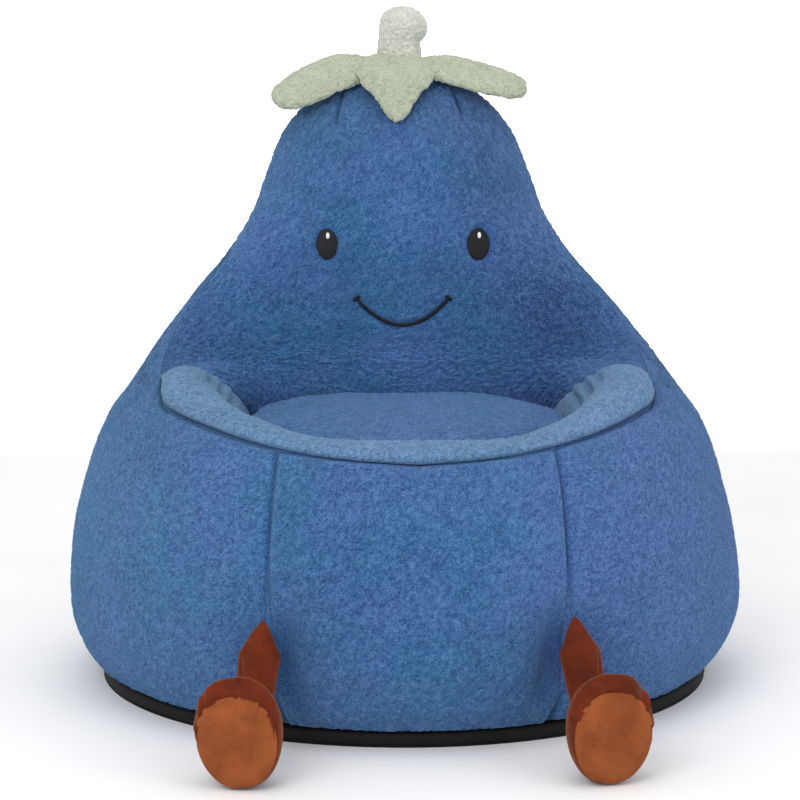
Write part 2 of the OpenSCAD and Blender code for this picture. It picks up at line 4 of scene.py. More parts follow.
import bpy
import numpy as np
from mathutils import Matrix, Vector


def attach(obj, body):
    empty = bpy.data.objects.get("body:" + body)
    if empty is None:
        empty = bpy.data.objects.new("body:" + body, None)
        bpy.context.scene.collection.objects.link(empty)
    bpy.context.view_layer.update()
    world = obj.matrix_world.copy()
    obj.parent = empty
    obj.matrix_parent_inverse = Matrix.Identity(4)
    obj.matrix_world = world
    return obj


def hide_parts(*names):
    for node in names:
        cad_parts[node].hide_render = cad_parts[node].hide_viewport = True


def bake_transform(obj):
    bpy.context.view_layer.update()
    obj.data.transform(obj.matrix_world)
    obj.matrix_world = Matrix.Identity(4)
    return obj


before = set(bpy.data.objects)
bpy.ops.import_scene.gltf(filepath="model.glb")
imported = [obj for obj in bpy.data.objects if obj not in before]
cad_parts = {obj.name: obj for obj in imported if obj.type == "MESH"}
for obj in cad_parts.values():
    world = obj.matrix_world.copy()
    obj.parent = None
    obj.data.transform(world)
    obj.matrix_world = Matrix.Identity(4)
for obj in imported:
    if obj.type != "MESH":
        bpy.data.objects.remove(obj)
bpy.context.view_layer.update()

# ---------------------------------------------------------------- sizes, in metres
HEIGHT, HALF_W, HALF_D = 0.825, 0.462, 0.462   # body, to the crown; half its width and depth
PILE, PILE_RISE = 0.0022, 0.0024               # depth of the cloth under the pile, height of a tuft
BAND_Z = 0.0185                                # top of the black base band
DECK_Z = 0.326                                 # sewn-in deck under the seat cushion
SEAM_LOW, SEAM_TOP = 22.9, 25.4                # front seams at the foot and at the rim, degrees
LEG_ANGLE = 24.0                               # where the legs are sewn into them
CROWN_SHARE = 0.985                            # share of the height where the crown's cap starts
FACE_CORE = 0.60                               # share where the allowance behind the face seams starts
CELL = 0.0026                                  # spacing of the plush meshes
HEAD_Y = 0.2275                                # middle of the head's top, front to back
LIP = 0.007                                    # how far a panel's cut edge turns in
HIP_Z = 0.165                                  # height of the legs' upper ends
SIDES = ((1, "left"), (-1, "right"))           # the chair's own left is +X

# height, half width, centre line, depth in front, depth behind: shares of HEIGHT, HALF_W, HALF_D
BODY = [
    [0.022, 0.905, 0.000, 0.905, 0.905], [0.067, 0.966, 0.000, 0.966, 0.966],
    [0.133, 1.000, 0.000, 1.000, 1.000], [0.279, 0.970, 0.004, 0.978, 0.974],
    [0.424, 0.885, 0.030, 0.908, 0.909], [0.473, 0.824, 0.068, 0.772, 0.866],
    [0.533, 0.753, 0.195, 0.357, 0.723], [0.620, 0.630, 0.300, 0.250, 0.560],
    [0.679, 0.541, 0.346, 0.195, 0.468], [0.752, 0.457, 0.400, 0.205, 0.360],
    [0.824, 0.409, 0.433, 0.205, 0.294], [0.897, 0.353, 0.459, 0.184, 0.238],
    [0.958, 0.249, 0.480, 0.134, 0.164], [0.985, 0.150, 0.493, 0.085, 0.100],
]
# height share of the outer wall's sewn top edge, by angle from the front
EDGE = [[0, 0.424], [15, 0.431], [26, 0.440], [36, 0.450], [44, 0.458], [52, 0.466], [60, 0.478],
        [70, 0.533], [80, 0.630], [90, 0.752], [93, 0.860]]
# angle of the face panel's seam, by height share
FACE_SEAM = [[0.478, 60], [0.504, 65.6], [0.533, 70], [0.630, 80], [0.752, 90], [0.860, 93],
             [1.000, 93]]
SIDE_SEAM, SIDE_TOP = 100.0, 93.0
# the face panel's middle line, and the crease where the arms meet it
FACE_MIDDLE = [[0.388, 0.305], [0.450, 0.272], [0.533, 0.245], [0.620, 0.222], [0.700, 0.205],
               [0.780, 0.220], [0.850, 0.252], [0.920, 0.320], [0.985, 0.430]]
CREASE = [[0.388, 0.459, 0.285], [0.433, 0.501, 0.223], [0.456, 0.540, 0.166],
          [0.485, 0.609, 0.065], [0.497, 0.660, -0.015], [0.503, 0.715, -0.105]]
JUNCTION = CREASE[-1][0]
# depth share of the face panel's bow at its sides; only its very edges run forward to the arms
FACE_BOW = [[0.388, 0.285], [0.433, 0.237], [0.485, 0.195], [0.533, 0.190], [0.575, 0.215],
            [0.620, 0.257], [0.679, 0.328], [0.752, 0.400], [0.824, 0.444], [0.897, 0.472],
            [0.958, 0.489], [1.000, 0.500]]
# the rim, from the middle of the front to an arm's rear end
RIM = [[0.00, 0, 0.000, -0.650, 0.030, 0.05, 0.056, 0.15],
       [0.25, 22, 0.243, -0.611, 0.024, 0.05, 0.054, 0.17],
       [0.50, 44, 0.411, -0.466, 0.038, 0.05, 0.090, 0.20],
       [0.75, 60, 0.478, -0.150, 0.051, 0.05, 0.106, 0.22],
       [0.92, 64.4, 0.466, 0.150, 0.030, 0.10, 0.094, 0.22],
       [1.00, 65.6, 0.459, 0.285, -0.006, 0.25, 0.075, 0.45]]


# ---------------------------------------------------------------- curves and surfaces
def curve(rows):
    """A smooth curve through a table whose first column is the place."""
    a = np.array(rows, float)
    x, y = a[:, 0], a[:, 1:]
    n = len(x)
    lo, hi = np.maximum(np.arange(n) - 1, 0), np.minimum(np.arange(n) + 1, n - 1)
    m = (y[hi] - y[lo]) / (x[hi] - x[lo])[:, None]

    def at(t):
        t = np.asarray(t, float)
        i = np.clip(np.searchsorted(x, t, side="right") - 1, 0, n - 2)
        h = (x[i + 1] - x[i])[..., None]
        s = (t - x[i])[..., None] / h
        return ((2 * s**3 - 3 * s**2 + 1) * y[i] + (s**3 - 2 * s**2 + s) * h * m[i]
                + (3 * s**2 - 2 * s**3) * y[i + 1] + (s**3 - s**2) * h * m[i + 1])
    return at


body_at, edge_at, seam_at = curve(BODY), curve(EDGE), curve(FACE_SEAM)
middle_at, crease_at, rim_at = curve(FACE_MIDDLE), curve(CREASE), curve(RIM)
bow_at = curve(FACE_BOW)
sind = lambda a: np.sin(np.radians(a))
cosd = lambda a: np.cos(np.radians(a))


def stack(x, y, z):
    return np.stack(np.broadcast_arrays(x, y, z), axis=-1).astype(float)


def unit(v):
    return v / np.maximum(np.linalg.norm(v, axis=-1, keepdims=True), 1e-12)


def directions(line):
    """Unit vectors along a line of points."""
    return unit(np.gradient(line, axis=0))


def circle(n):
    """n angles round a full turn."""
    return np.linspace(0, 360, n + 1)[:-1]


def bezier(w, p0, p1, p2, p3):
    w = np.asarray(w)[..., None]
    v = 1 - w
    return v**3 * p0 + 3 * v**2 * w * p1 + 3 * v * w**2 * p2 + w**3 * p3


def spot(p, centre, size):
    """1 at the centre, falling to 0 over the size along each axis."""
    return np.exp(-np.linalg.norm((p - centre) / size, axis=-1) ** 2)


def wall(angle, z):
    """A point of the body's outer wall."""
    s = body_at(np.asarray(z) / HEIGHT)
    depth = np.where(np.abs(angle) <= 90, s[..., 2], s[..., 3])
    return stack(s[..., 0] * HALF_W * sind(angle),
                 s[..., 1] * HALF_D - depth * HALF_D * cosd(angle), z)


def edge_z(angle):
    return edge_at(np.abs(angle))[..., 0] * HEIGHT


def face_edge(z):
    """The face panel's edge at a height: the side seam, or the crease of the arms below it."""
    share = np.asarray(z) / HEIGHT
    upper = wall(seam_at(np.maximum(share, FACE_SEAM[0][0]))[..., 0], z)
    low = crease_at(np.minimum(share, JUNCTION))
    lower = stack(low[..., 0] * HALF_W, low[..., 1] * HALF_D, z)
    return np.where((share >= JUNCTION)[..., None], upper, lower)


def face_surface(swing, z):
    """The face panel: swing runs from -90 at its right edge to 90 at its left one."""
    edge, share = face_edge(z), np.asarray(z) / HEIGHT
    middle, bow = middle_at(share)[..., 0] * HALF_D, bow_at(share)[..., 0] * HALF_D
    run = (edge[..., 1] - bow) * np.abs(sind(swing)) ** 12
    return stack(edge[..., 0] * sind(swing), middle + (bow - middle) * (1 - cosd(swing)) + run, z)


def on_face(x, z):
    """A point on the face, straight in front of a place across and a height."""
    x, z = np.broadcast_arrays(np.asarray(x, float), np.asarray(z, float))
    swing = np.degrees(np.arcsin(np.clip(x / face_edge(z)[..., 0], -1, 1)))
    return face_surface(swing, z)


def rim_surface(way, turn):
    """The rim's top: way runs from the right arm to the left one, turn from the wall to the deck."""
    r = rim_at(np.abs(way))
    p0 = wall(r[..., 0], edge_z(r[..., 0]))
    foot = stack(r[..., 1] * HALF_W, r[..., 2] * HALF_D, DECK_Z + 0.006)
    out, up = (p0 - foot) * [1, 1, 0], np.array([0, 0, 1.0])
    p1 = p0 - out * r[..., 4:5] + up * r[..., 3:4]
    p2 = foot + out * r[..., 6:7] + up * r[..., 5:6]
    p = bezier(turn, p0, p1, p2, foot)
    p[..., 0] *= np.where(np.asarray(way) < 0, -1, 1)
    return p


# ---------------------------------------------------------------- noise
def lattice_noise(points, cell, seed):
    """Smooth noise from 0 to 1, with features about as large as cell."""
    table = np.random.default_rng(seed).random((32, 32, 32))
    q = points / cell + 100.0
    i = np.floor(q).astype(int)
    f = q - i
    f = f * f * (3 - 2 * f)
    total = np.zeros(points.shape[:-1])
    for dx in (0, 1):
        for dy in (0, 1):
            for dz in (0, 1):
                weight = (np.abs(1 - dx - f[..., 0]) * np.abs(1 - dy - f[..., 1])
                          * np.abs(1 - dz - f[..., 2]))
                total += weight * table[(i[..., 0] + dx) & 31, (i[..., 1] + dy) & 31,
                                        (i[..., 2] + dz) & 31]
    return total


def tufts(points, seed):
    """Height of the pile's curls, from 0 in the pits to 1 on the tips."""
    curls = lattice_noise(points, 0.0036, seed)
    fine = lattice_noise(points, 0.0025, seed + 1)
    return np.clip(1.1 * (curls + fine) - 0.6, 0, 1)


def swells(points, seed, size=0.11, height=0.004):
    """Gentle rises and hollows of cloth over a loose filling."""
    broad = lattice_noise(points, size, seed) - 0.5
    small = lattice_noise(points, size * 0.4, seed + 3) - 0.5
    return height * (1.6 * broad + 0.6 * small)


def line_distance(points, a, b):
    """Distance from a segment, and the share of the way along it."""
    a, b = np.array(a, float), np.array(b, float)
    d = b - a
    t = np.clip((points - a) @ d / (d @ d), 0, 1)
    return np.linalg.norm(points - (a + t[..., None] * d), axis=-1), t


def crease(points, a, b, width, depth):
    """A soft fold along a segment, deepest in its middle."""
    far, t = line_distance(points, a, b)
    return -depth * np.exp(-(far / width) ** 2) * (0.35 + 0.65 * np.sin(math.pi * t))


# ---------------------------------------------------------------- meshes
def grid_normals(p, around=False):
    du = np.roll(p, -1, 1) - np.roll(p, 1, 1) if around else np.gradient(p, axis=1)
    return unit(np.cross(du, np.gradient(p, axis=0)))


def raised(p, push):
    """Rings of points moved out along their normals."""
    return p + grid_normals(p, around=True) * push[..., None]


def grid_faces(rows, cols, around=False, first=0):
    r, c = np.meshgrid(np.arange(rows - 1), np.arange(cols if around else cols - 1), indexing="ij")
    nxt = (c + 1) % cols
    quads = np.stack([r * cols + c, r * cols + nxt, (r + 1) * cols + nxt, (r + 1) * cols + c], -1)
    return quads.reshape(-1, 4) + first


def new_mesh(name, points, faces, material, values=None):
    mesh = bpy.data.meshes.new(name)
    mesh.from_pydata(np.asarray(points).reshape(-1, 3).tolist(), [], faces)
    mesh.polygons.foreach_set("use_smooth", [True] * len(mesh.polygons))
    for key, field in (values or {}).items():
        attribute = mesh.attributes.new(key, "FLOAT", "POINT")
        attribute.data.foreach_set("value", np.asarray(field, np.float32).ravel())
    mesh.materials.append(material)
    obj = bpy.data.objects.new(name, mesh)
    bpy.context.scene.collection.objects.link(obj)
    return obj


def new_tube(name, p, material, side=1, **values):
    """A mesh from rings of points, mirrored to the right of the chair for side -1."""
    faces = grid_faces(*p.shape[:2], around=True)
    if side < 0:
        p, faces = p * [-1, 1, 1], faces[:, ::-1]
    return new_mesh(name, p, faces.tolist(), material, values)


def place(obj, body, slot, *nodes):
    """Says which body a piece rides on, its finish, which is not used, and the CAD nodes it stands for.
    """
    if body:
        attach(obj, body)
    if nodes:
        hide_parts(*nodes)


def even(surface, length):
    """Evaluates surface(v) over v from 0 to 1 in rows that lie evenly along it."""
    v = np.linspace(0, 1, 200)[:, None]
    step = np.linalg.norm(np.diff(surface(v), axis=0), axis=-1).max(1)
    walk = np.concatenate([[0], np.cumsum(step)])
    return surface(np.interp(np.linspace(0, 1, count(length)), walk / walk[-1], v[:, 0])[:, None])


def count(length):
    return max(8, int(round(length / CELL)))


def crossing(edge, inner):
    """Sine of the angle at which a grid's lines meet one of its edges."""
    run, step = np.gradient(edge, axis=0), inner - edge
    size = np.linalg.norm(run, axis=-1) * np.linalg.norm(step, axis=-1)
    return np.linalg.norm(np.cross(run, step), axis=-1) / (size + 1e-12)


def edge_distances(p):
    """Distance of each point of a grid from its left, right, bottom and top edges."""
    across = np.linalg.norm(np.diff(p, axis=1), axis=-1)
    along = np.linalg.norm(np.diff(p, axis=0), axis=-1)
    left = np.concatenate([np.zeros((p.shape[0], 1)), np.cumsum(across, 1)], 1)
    low = np.concatenate([np.zeros((1, p.shape[1])), np.cumsum(along, 0)], 0)
    return (left * crossing(p[:, 0], p[:, 1])[:, None],
            (left[:, -1:] - left) * crossing(p[:, -1], p[:, -2])[:, None],
            low * crossing(p[0], p[1]), (low[-1:] - low) * crossing(p[-1], p[-2]))


# the body behind the face seams is thin up to this height share and forward of this Y
THIN_TOP, THIN_BACK = 0.635, 0.150


def thin(line):
    """1 along the face seams where the body behind them is too thin for an allowance to turn in."""
    share = line[..., 2] / HEIGHT
    above = np.clip((share - JUNCTION + 0.012) / 0.012, 0, 1)
    below = np.clip((THIN_TOP - share) / 0.035, 0, 1)
    return above * below * np.clip((THIN_BACK - line[..., 1]) / 0.02, 0, 1)


def panel(name, surface, seams, material, seed, shape=None, calm=None, brush=None, side=1):
    """A sewn plush panel: its cloth rolls in at the seams and its pile stands in tufts.
    seams holds (depth, width) for the left, right, bottom and top edges. side -1 mirrors it."""
    if side < 0:
        surface, seams = (surface * [-1, 1, 1])[:, ::-1], [seams[1], seams[0], *seams[2:]]
    n = grid_normals(surface)
    p = surface - n * PILE
    edges = surface[:, :1], surface[:, -1:], surface[:1], surface[-1:]
    push = swells(p, seed, height=0.003)
    nearest = np.full(p.shape[:2], 1.0)
    for far, (depth, width) in zip(edge_distances(p), seams):
        push -= depth * np.clip(1 - far / width, 0, 1) ** 2.2
        nearest = np.minimum(nearest, far)
    folds = shape(p) if shape is not None else np.zeros(p.shape[:2])
    push += folds
    pile_height = tufts(p, seed + 7)
    quiet = calm(p) if calm is not None else 0
    settle = (1 - 0.75 * quiet) * np.clip(1.25 + folds / 0.0085, 0, 1)
    tuft = PILE_RISE * settle * pile_height * np.clip(nearest / 0.004, 0.25, 1)
    p = p + n * (push + tuft)[..., None]
    # where the body is thin, the panels meet on the seam's line instead
    drawn = np.zeros(p.shape[:2])
    for far, edge in zip(edge_distances(surface), edges):
        near = thin(edge) * np.clip(1 - far / 0.016, 0, 1) ** 1.3
        p += (edge + [0, 0.002, 0] - p) * near[..., None]
        drawn = np.maximum(drawn, near)
    # patches painted darker or lighter on this panel: uneven tone, with painted shade and painted light
    # where marked
    brushed = brush(p) if brush is not None else np.zeros(p.shape[:2])
    # a lip turns in all round, so that the cut edge lies inside the seam
    p = np.pad(p, ((1, 1), (1, 1), (0, 0)), mode="edge")
    inward = np.pad(n * (1 - drawn[..., None]) - [0, 1, 0] * drawn[..., None],
                    ((1, 1), (1, 1), (0, 0)), mode="edge")
    rim = np.ones(p.shape[:2], bool)
    rim[1:-1, 1:-1] = False
    p[rim] -= inward[rim] * LIP
    # painted shade: the tuft value that darkens the pile colour drops along the seams and in the folds
    # and darts; it is also lower where the pile lies flat by the stitching
    value = np.pad(pile_height * settle * np.clip(nearest / 0.005, 0, 1), 1)
    obj = new_mesh(name, p, grid_faces(*p.shape[:2]).tolist(), material,
                   {"tuft": value, "brushed": np.pad(brushed, 1, mode="edge")})
    place(obj, "chair", "plush_blue", name)


# ---------------------------------------------------------------- materials
class Nodes:
    """A short way to write a material's node graph."""

    def __init__(self, name):
        self.material = bpy.data.materials.new(name)
        self.material.use_nodes = True
        self.tree = self.material.node_tree
        self.tree.nodes.clear()
        self.out = self.add("ShaderNodeOutputMaterial")
        self.shader = self.add("ShaderNodeBsdfPrincipled")
        self.link(self.shader.outputs[0], self.out.inputs[0])
        self.place = self.add("ShaderNodeTexCoord").outputs["Object"]

    def add(self, kind, **settings):
        node = self.tree.nodes.new(kind)
        for key, value in settings.items():
            setattr(node, key, value)
        return node

    def link(self, a, b):
        self.tree.links.new(a, b)

    def set(self, **values):
        for key, value in values.items():
            self.shader.inputs[key.replace("_", " ")].default_value = value

    def noise(self, scale, detail=2.0, rough=0.55):
        node = self.add("ShaderNodeTexNoise")
        node.inputs["Scale"].default_value = scale
        node.inputs["Detail"].default_value = detail
        node.inputs["Roughness"].default_value = rough
        self.link(self.place, node.inputs["Vector"])
        return node.outputs["Fac"]

    def bands(self, direction, pitch, distortion):
        node = self.add("ShaderNodeTexWave", wave_type="BANDS", bands_direction=direction)
        node.inputs["Scale"].default_value = pitch / 6.28
        node.inputs["Distortion"].default_value = distortion
        self.link(self.place, node.inputs["Vector"])
        return node.outputs["Fac"]

    def attribute(self, name):
        return self.add("ShaderNodeAttribute", attribute_name=name).outputs["Fac"]

    def ramp(self, value, stops):
        node = self.add("ShaderNodeValToRGB")
        elements = node.color_ramp.elements
        while len(elements) < len(stops):
            elements.new(0.5)
        for element, (at, colour) in zip(elements, stops):
            element.position = at
            element.color = (*colour, 1)
        self.link(value, node.inputs[0])
        return node.outputs[0]

    def mix(self, share, a, b, blend="MIX"):
        node = self.add("ShaderNodeMix", data_type="RGBA", blend_type=blend)
        for socket, value in ((node.inputs[0], share), (node.inputs[6], a), (node.inputs[7], b)):
            if isinstance(value, bpy.types.NodeSocket):
                self.link(value, socket)
            elif isinstance(value, (int, float)):
                socket.default_value = value
            else:
                socket.default_value = (*value, 1)
        return node.outputs[2]

    def math(self, operation, a, b):
        node = self.add("ShaderNodeMath", operation=operation)
        for socket, value in zip(node.inputs, (a, b)):
            if isinstance(value, bpy.types.NodeSocket):
                self.link(value, socket)
            else:
                socket.default_value = value
        return node.outputs[0]

    def bump(self, height, strength, distance):
        node = self.add("ShaderNodeBump")
        node.inputs["Strength"].default_value = strength
        node.inputs["Distance"].default_value = distance
        self.link(height, node.inputs["Height"])
        self.link(node.outputs[0], self.shader.inputs["Normal"])

    def colour(self, socket):
        self.link(socket, self.shader.inputs["Base Color"])


def srgb(r, g, b):
    """Linear colour from 0-255 screen values."""
    return tuple((v / 12.92 if v <= 0.04045 else ((v + 0.055) / 1.055) ** 2.4)
                 for v in (r / 255, g / 255, b / 255))


def grey(level):
    return (level, level, level)


def plush(name, pit_shade, low, high, tip, sheen):
    """Curly short-pile plush, in drifting patches of two tones: painted shade in the pits between
    tufts, and a painted highlight on their tips.
    """
    m = Nodes(name)
    across = m.add("ShaderNodeSeparateXYZ")
    m.link(m.place, across.inputs[0])
    drift = m.math("ADD", m.noise(7.0, 3.0), m.math("MULTIPLY", across.outputs[0], -0.35))
    patch = m.ramp(drift, ((0.36, low), (0.64, high)))
    streak = m.ramp(m.noise(26.0, 4.0, 0.6), ((0.34, grey(0.92)), (0.68, grey(1.06))))
    base = m.mix(1.0, patch, streak, "MULTIPLY")
    grain = m.ramp(m.noise(540.0, 2.0, 0.65), ((0.36, grey(0)), (0.64, grey(1))))
    height = m.math("ADD", m.math("MULTIPLY", m.attribute("tuft"), 0.42),
                    m.math("MULTIPLY", grain, 0.58))
    shade = m.ramp(height, ((0.02, grey(0)), (0.50, grey(1))))
    # the colour is scaled darker or lighter by a value each piece sets: partly uneven tone, partly
    # painted shade and painted light
    tone_and_shade_scale = m.ramp(m.math("ADD", m.math("MULTIPLY", m.attribute("brushed"), 0.5), 0.5),
                 ((0.0, (0.45, 0.45, 0.50)), (0.5, grey(1)), (1.0, (1.5, 1.45, 1.35))))
    base = m.mix(1.0, base, tone_and_shade_scale, "MULTIPLY")
    # painted shade: the colour falls to the pit colour where the tuft value and the grain are low
    body = m.mix(shade, pit_shade, base)
    # painted highlight: the tips of the tufts are painted lighter
    tips = m.ramp(height, ((0.50, grey(0)), (0.95, grey(1))))
    m.colour(m.mix(m.math("MULTIPLY", tips, 0.50), body, tip))
    m.bump(grain, 0.9, 0.0016)
    m.set(Roughness=0.95, Sheen_Weight=0.35, Sheen_Roughness=0.45, Sheen_Tint=(*sheen, 1),
          Specular_IOR_Level=0.15)
    return m.material


def velour(name, dark, light, sheen):
    """Short-nap velour, with brushed patches that catch the light."""
    m = Nodes(name)
    patch = m.ramp(m.noise(24.0, 3.0, 0.6), ((0.36, dark), (0.66, light)))
    nap = m.ramp(m.noise(900.0, 1.0), ((0.25, grey(0.78)), (0.75, grey(1.14))))
    m.colour(m.mix(1.0, patch, nap, "MULTIPLY"))
    m.bump(m.noise(1300.0, 2.0), 0.35, 0.0006)
    m.set(Roughness=0.85, Sheen_Weight=0.30, Sheen_Roughness=0.35, Sheen_Tint=(*sheen, 1),
          Specular_IOR_Level=0.2)
    return m.material


def woven(name, dark, light, pitch=1500.0):
    """Plain-woven cloth: two crossed sets of yarns, painted darker in the gaps between them, a painted
    shade, and mottled by uneven soil.
    """
    m = Nodes(name)
    weave = m.math("MULTIPLY", m.bands("X", pitch, 0.4), m.bands("Z", pitch, 0.4))
    soil = m.noise(30.0, 3.0)
    m.colour(m.mix(m.math("MULTIPLY", m.math("ADD", weave, soil), 0.5), dark, light))
    m.bump(weave, 0.4, 0.0005)
    m.set(Roughness=0.7, Specular_IOR_Level=0.2)
    return m.material


def thread(name, dark, light):
    """Satin stitches lying side by side, painted darker in the grooves between them, a painted shade.
    """
    m = Nodes(name)
    stitches = m.bands("DIAGONAL", 2300.0, 1.2)
    m.colour(m.mix(stitches, dark, light))
    m.bump(stitches, 0.6, 0.0004)
    m.set(Roughness=0.55, Specular_IOR_Level=0.3)
    return m.material


def beads(name):
    """Packed polystyrene beads, painted darker from each bead's middle outwards, a painted shade
    between the beads.
    """
    m = Nodes(name)
    cells = m.add("ShaderNodeTexVoronoi")
    cells.inputs["Scale"].default_value = 260.0
    m.link(m.place, cells.inputs["Vector"])
    m.colour(m.ramp(cells.outputs["Distance"],
                    ((0.1, (0.93, 0.93, 0.92)), (0.8, (0.55, 0.55, 0.54)))))
    m.bump(cells.outputs["Distance"], 0.8, 0.002)
    m.set(Roughness=0.6)
    return m.material


def fibre(name):
    """White polyester stuffing, painted darker in the hollows of its fluff, a painted shade."""
    m = Nodes(name)
    fluff = m.noise(160.0, 6.0, 0.7)
    m.colour(m.ramp(fluff, ((0.3, (0.62, 0.61, 0.59)), (0.7, (0.93, 0.92, 0.90)))))
    m.bump(fluff, 1.0, 0.003)
    m.set(Roughness=0.95, Sheen_Weight=0.3)
    return m.material


def metal(name, colour, rough):
    """Worn plated metal."""
    m = Nodes(name)
    dull = tuple(c * 0.72 for c in colour)
    m.colour(m.ramp(m.noise(420.0, 4.0, 0.65), ((0.35, dull), (0.65, colour))))
    m.link(m.ramp(m.noise(900.0, 2.0), ((0.3, grey(rough * 0.8)), (0.7, grey(rough * 1.3)))),
           m.shader.inputs["Roughness"])
    m.bump(m.noise(1400.0, 2.0), 0.15, 0.0002)
    m.set(Metallic=1.0)
    return m.material


def plastic(name, colour):
    """Moulded nylon."""
    m = Nodes(name)
    m.colour(m.ramp(m.noise(700.0, 3.0), ((0.3, tuple(c * 0.7 for c in colour)), (0.7, colour))))
    m.bump(m.noise(1500.0, 1.0), 0.15, 0.0002)
    m.set(Roughness=0.45)
    return m.material


BLUE = plush("plush_blue", srgb(30, 62, 120), srgb(72, 108, 170), srgb(54, 110, 160),
             srgb(122, 162, 212), (0.45, 0.66, 0.95))
# the rim's plush is a lighter copy of the blue, a painted highlight for the light on its up-facing top
LIT_RIM_BLUE = plush("plush_blue_rim_lit", srgb(44, 82, 134), srgb(102, 140, 184), srgb(92, 138, 176),
                  srgb(156, 190, 220), (0.6, 0.78, 1.0))
SAGE = plush("plush_sage", srgb(154, 160, 134), srgb(198, 206, 180), srgb(196, 203, 179),
             srgb(222, 226, 210), (0.9, 0.95, 0.85))
STEM_SAGE = plush("plush_sage_stem", srgb(188, 192, 178), srgb(226, 229, 218), srgb(226, 229, 218),
                  srgb(236, 238, 230), (0.9, 0.95, 0.9))
BROWN = velour("velour_brown", srgb(80, 25, 4), srgb(108, 38, 8), (1, 0.45, 0.22))
TAN = velour("velour_tan", srgb(124, 62, 28), srgb(150, 80, 40), (1, 0.62, 0.42))
BLACK = woven("oxford_black", (0.003, 0.0025, 0.004), (0.012, 0.011, 0.014))
LINER = woven("liner_cloth", (0.52, 0.51, 0.48), (0.86, 0.85, 0.82), 1800.0)
THREAD = thread("thread_black", (0.002, 0.002, 0.003), (0.010, 0.010, 0.014))
WHITE = thread("thread_white", (0.75, 0.75, 0.75), (0.95, 0.95, 0.95))
BEADS, FIBRE = beads("bead_fill"), fibre("fibre_fill")
STEEL, NYLON = metal("zip_metal", (0.62, 0.62, 0.64), 0.3), plastic("zip_nylon", (0.03, 0.03, 0.035))


# ---------------------------------------------------------------- body panels
# how far the cloth dips at a seam, and over what width
FRONT_SEAM, SOFT_SEAM, FOOT_SEAM = (0.0060, 0.013), (0.0036, 0.010), (0.003, 0.008)
TOP_SEAM, WELL_SEAM = (0.0036, 0.010), (0.004, 0.020)


def leg_hollows(p):
    """The cloth is drawn in where the legs are sewn into the front seams."""
    return -0.0085 * sum(spot(p, [side * 0.188, -0.425, 0.125], [0.055, 0.08, 0.062])
                         for side, _ in SIDES)


def front_folds(p):
    """Folds that fall from the inside of each hip to the base."""
    push = leg_hollows(p)
    for side, _ in SIDES:
        push += crease(p, wall(side * 21.0, HIP_Z), wall(side * 19.0, 0.045), 0.014, 0.0060)
    return push


def wall_tone_and_shade(p):
    """Drifting patches of uneven tone, with painted shade in the hollows beside the legs."""
    shade_beside_legs = sum(spot(p, [side * 0.155, -0.43, 0.10], [0.035, 0.08, 0.075]) for side, _ in SIDES)
    return 0.30 * swells(p, 17, 0.12, 1.0) - 0.55 * shade_beside_legs


def front_panel():
    u = np.linspace(-1, 1, count(0.375))[None, :]
    top = edge_z(SEAM_TOP * u)
    surface = even(lambda v: wall((SEAM_LOW + (SEAM_TOP - SEAM_LOW) * v) * u,
                                  BAND_Z + (top - BAND_Z) * v), 0.345)
    seams = [FRONT_SEAM, FRONT_SEAM, FOOT_SEAM, TOP_SEAM]
    panel("front_panel", surface, seams, BLUE, 11, front_folds, brush=wall_tone_and_shade)


def side_folds(p):
    """Soft folds that run down from the outside of each arm."""
    push = leg_hollows(p)
    for side, _ in SIDES:
        for angle_a, z_a, angle_b, z_b, width, depth in ((64, 0.405, 80, 0.335, 0.013, 0.0055),
                                                         (57, 0.385, 66, 0.318, 0.012, 0.0040),
                                                         (74, 0.405, 88, 0.350, 0.014, 0.0035)):
            push += crease(p, wall(side * angle_a, z_a), wall(side * angle_b, z_b), width, depth)
    return push


def side_panel(side, word):
    u = np.linspace(0, 1, count(0.60))[None, :]
    top = SEAM_TOP + (SIDE_TOP - SEAM_TOP) * u
    low = SEAM_LOW + (SIDE_SEAM - SEAM_LOW) * u
    surface = even(lambda v: wall(low + (top - low) * v, BAND_Z + (edge_z(top) - BAND_Z) * v), 0.72)
    seams = [FRONT_SEAM, SOFT_SEAM, FOOT_SEAM, TOP_SEAM]
    panel(word + "_side_panel", surface, seams, BLUE, 21, side_folds, brush=wall_tone_and_shade, side=side)


def back_panel(side, word):
    top_z, seam_z = CROWN_SHARE * HEIGHT, EDGE[-1][1] * HEIGHT
    u = np.linspace(0, 1, count(0.60))[None, :]

    def sheet(v):
        z = BAND_Z + (top_z - BAND_Z) * v
        share = np.clip((z - BAND_Z) / (seam_z - BAND_Z), 0, 1)
        front = SIDE_SEAM + (SIDE_TOP - SIDE_SEAM) * share
        return wall(front + (180 - front) * u, z + 0 * u)

    seams = [SOFT_SEAM, SOFT_SEAM, FOOT_SEAM, FOOT_SEAM]
    panel(word + "_back_panel", even(sheet, 0.98), seams, BLUE, 31, brush=wall_tone_and_shade, side=side)


FACE_X = 0.003                                 # the stitching sits a little to the left
EYE_X, EYE_Z, EYE_W, EYE_H = 0.107, 0.578, 0.033, 0.0462
SMILE_HALF, SMILE_Z, SMILE_DROP = 0.065, 0.501, 0.038


def smile_line(s):
    return on_face(FACE_X + s * SMILE_HALF, SMILE_Z - SMILE_DROP * (1 - s**2))


def near_stitches(p):
    """1 on the embroidery, falling to 0 a few millimetres outside it."""
    x, z = p[..., 0], p[..., 2]
    eye = np.minimum(*[2 * np.hypot((x - FACE_X - side * EYE_X) / EYE_W, (z - EYE_Z) / EYE_H)
                       for side, _ in SIDES])
    line = smile_line(np.linspace(-1, 1, 41))
    smile = np.min([np.hypot(x - q[0], z - q[2]) for q in line], axis=0)
    return np.clip(np.maximum((1.28 - eye) / 0.28, (0.0068 - smile) / 0.004), 0, 1)


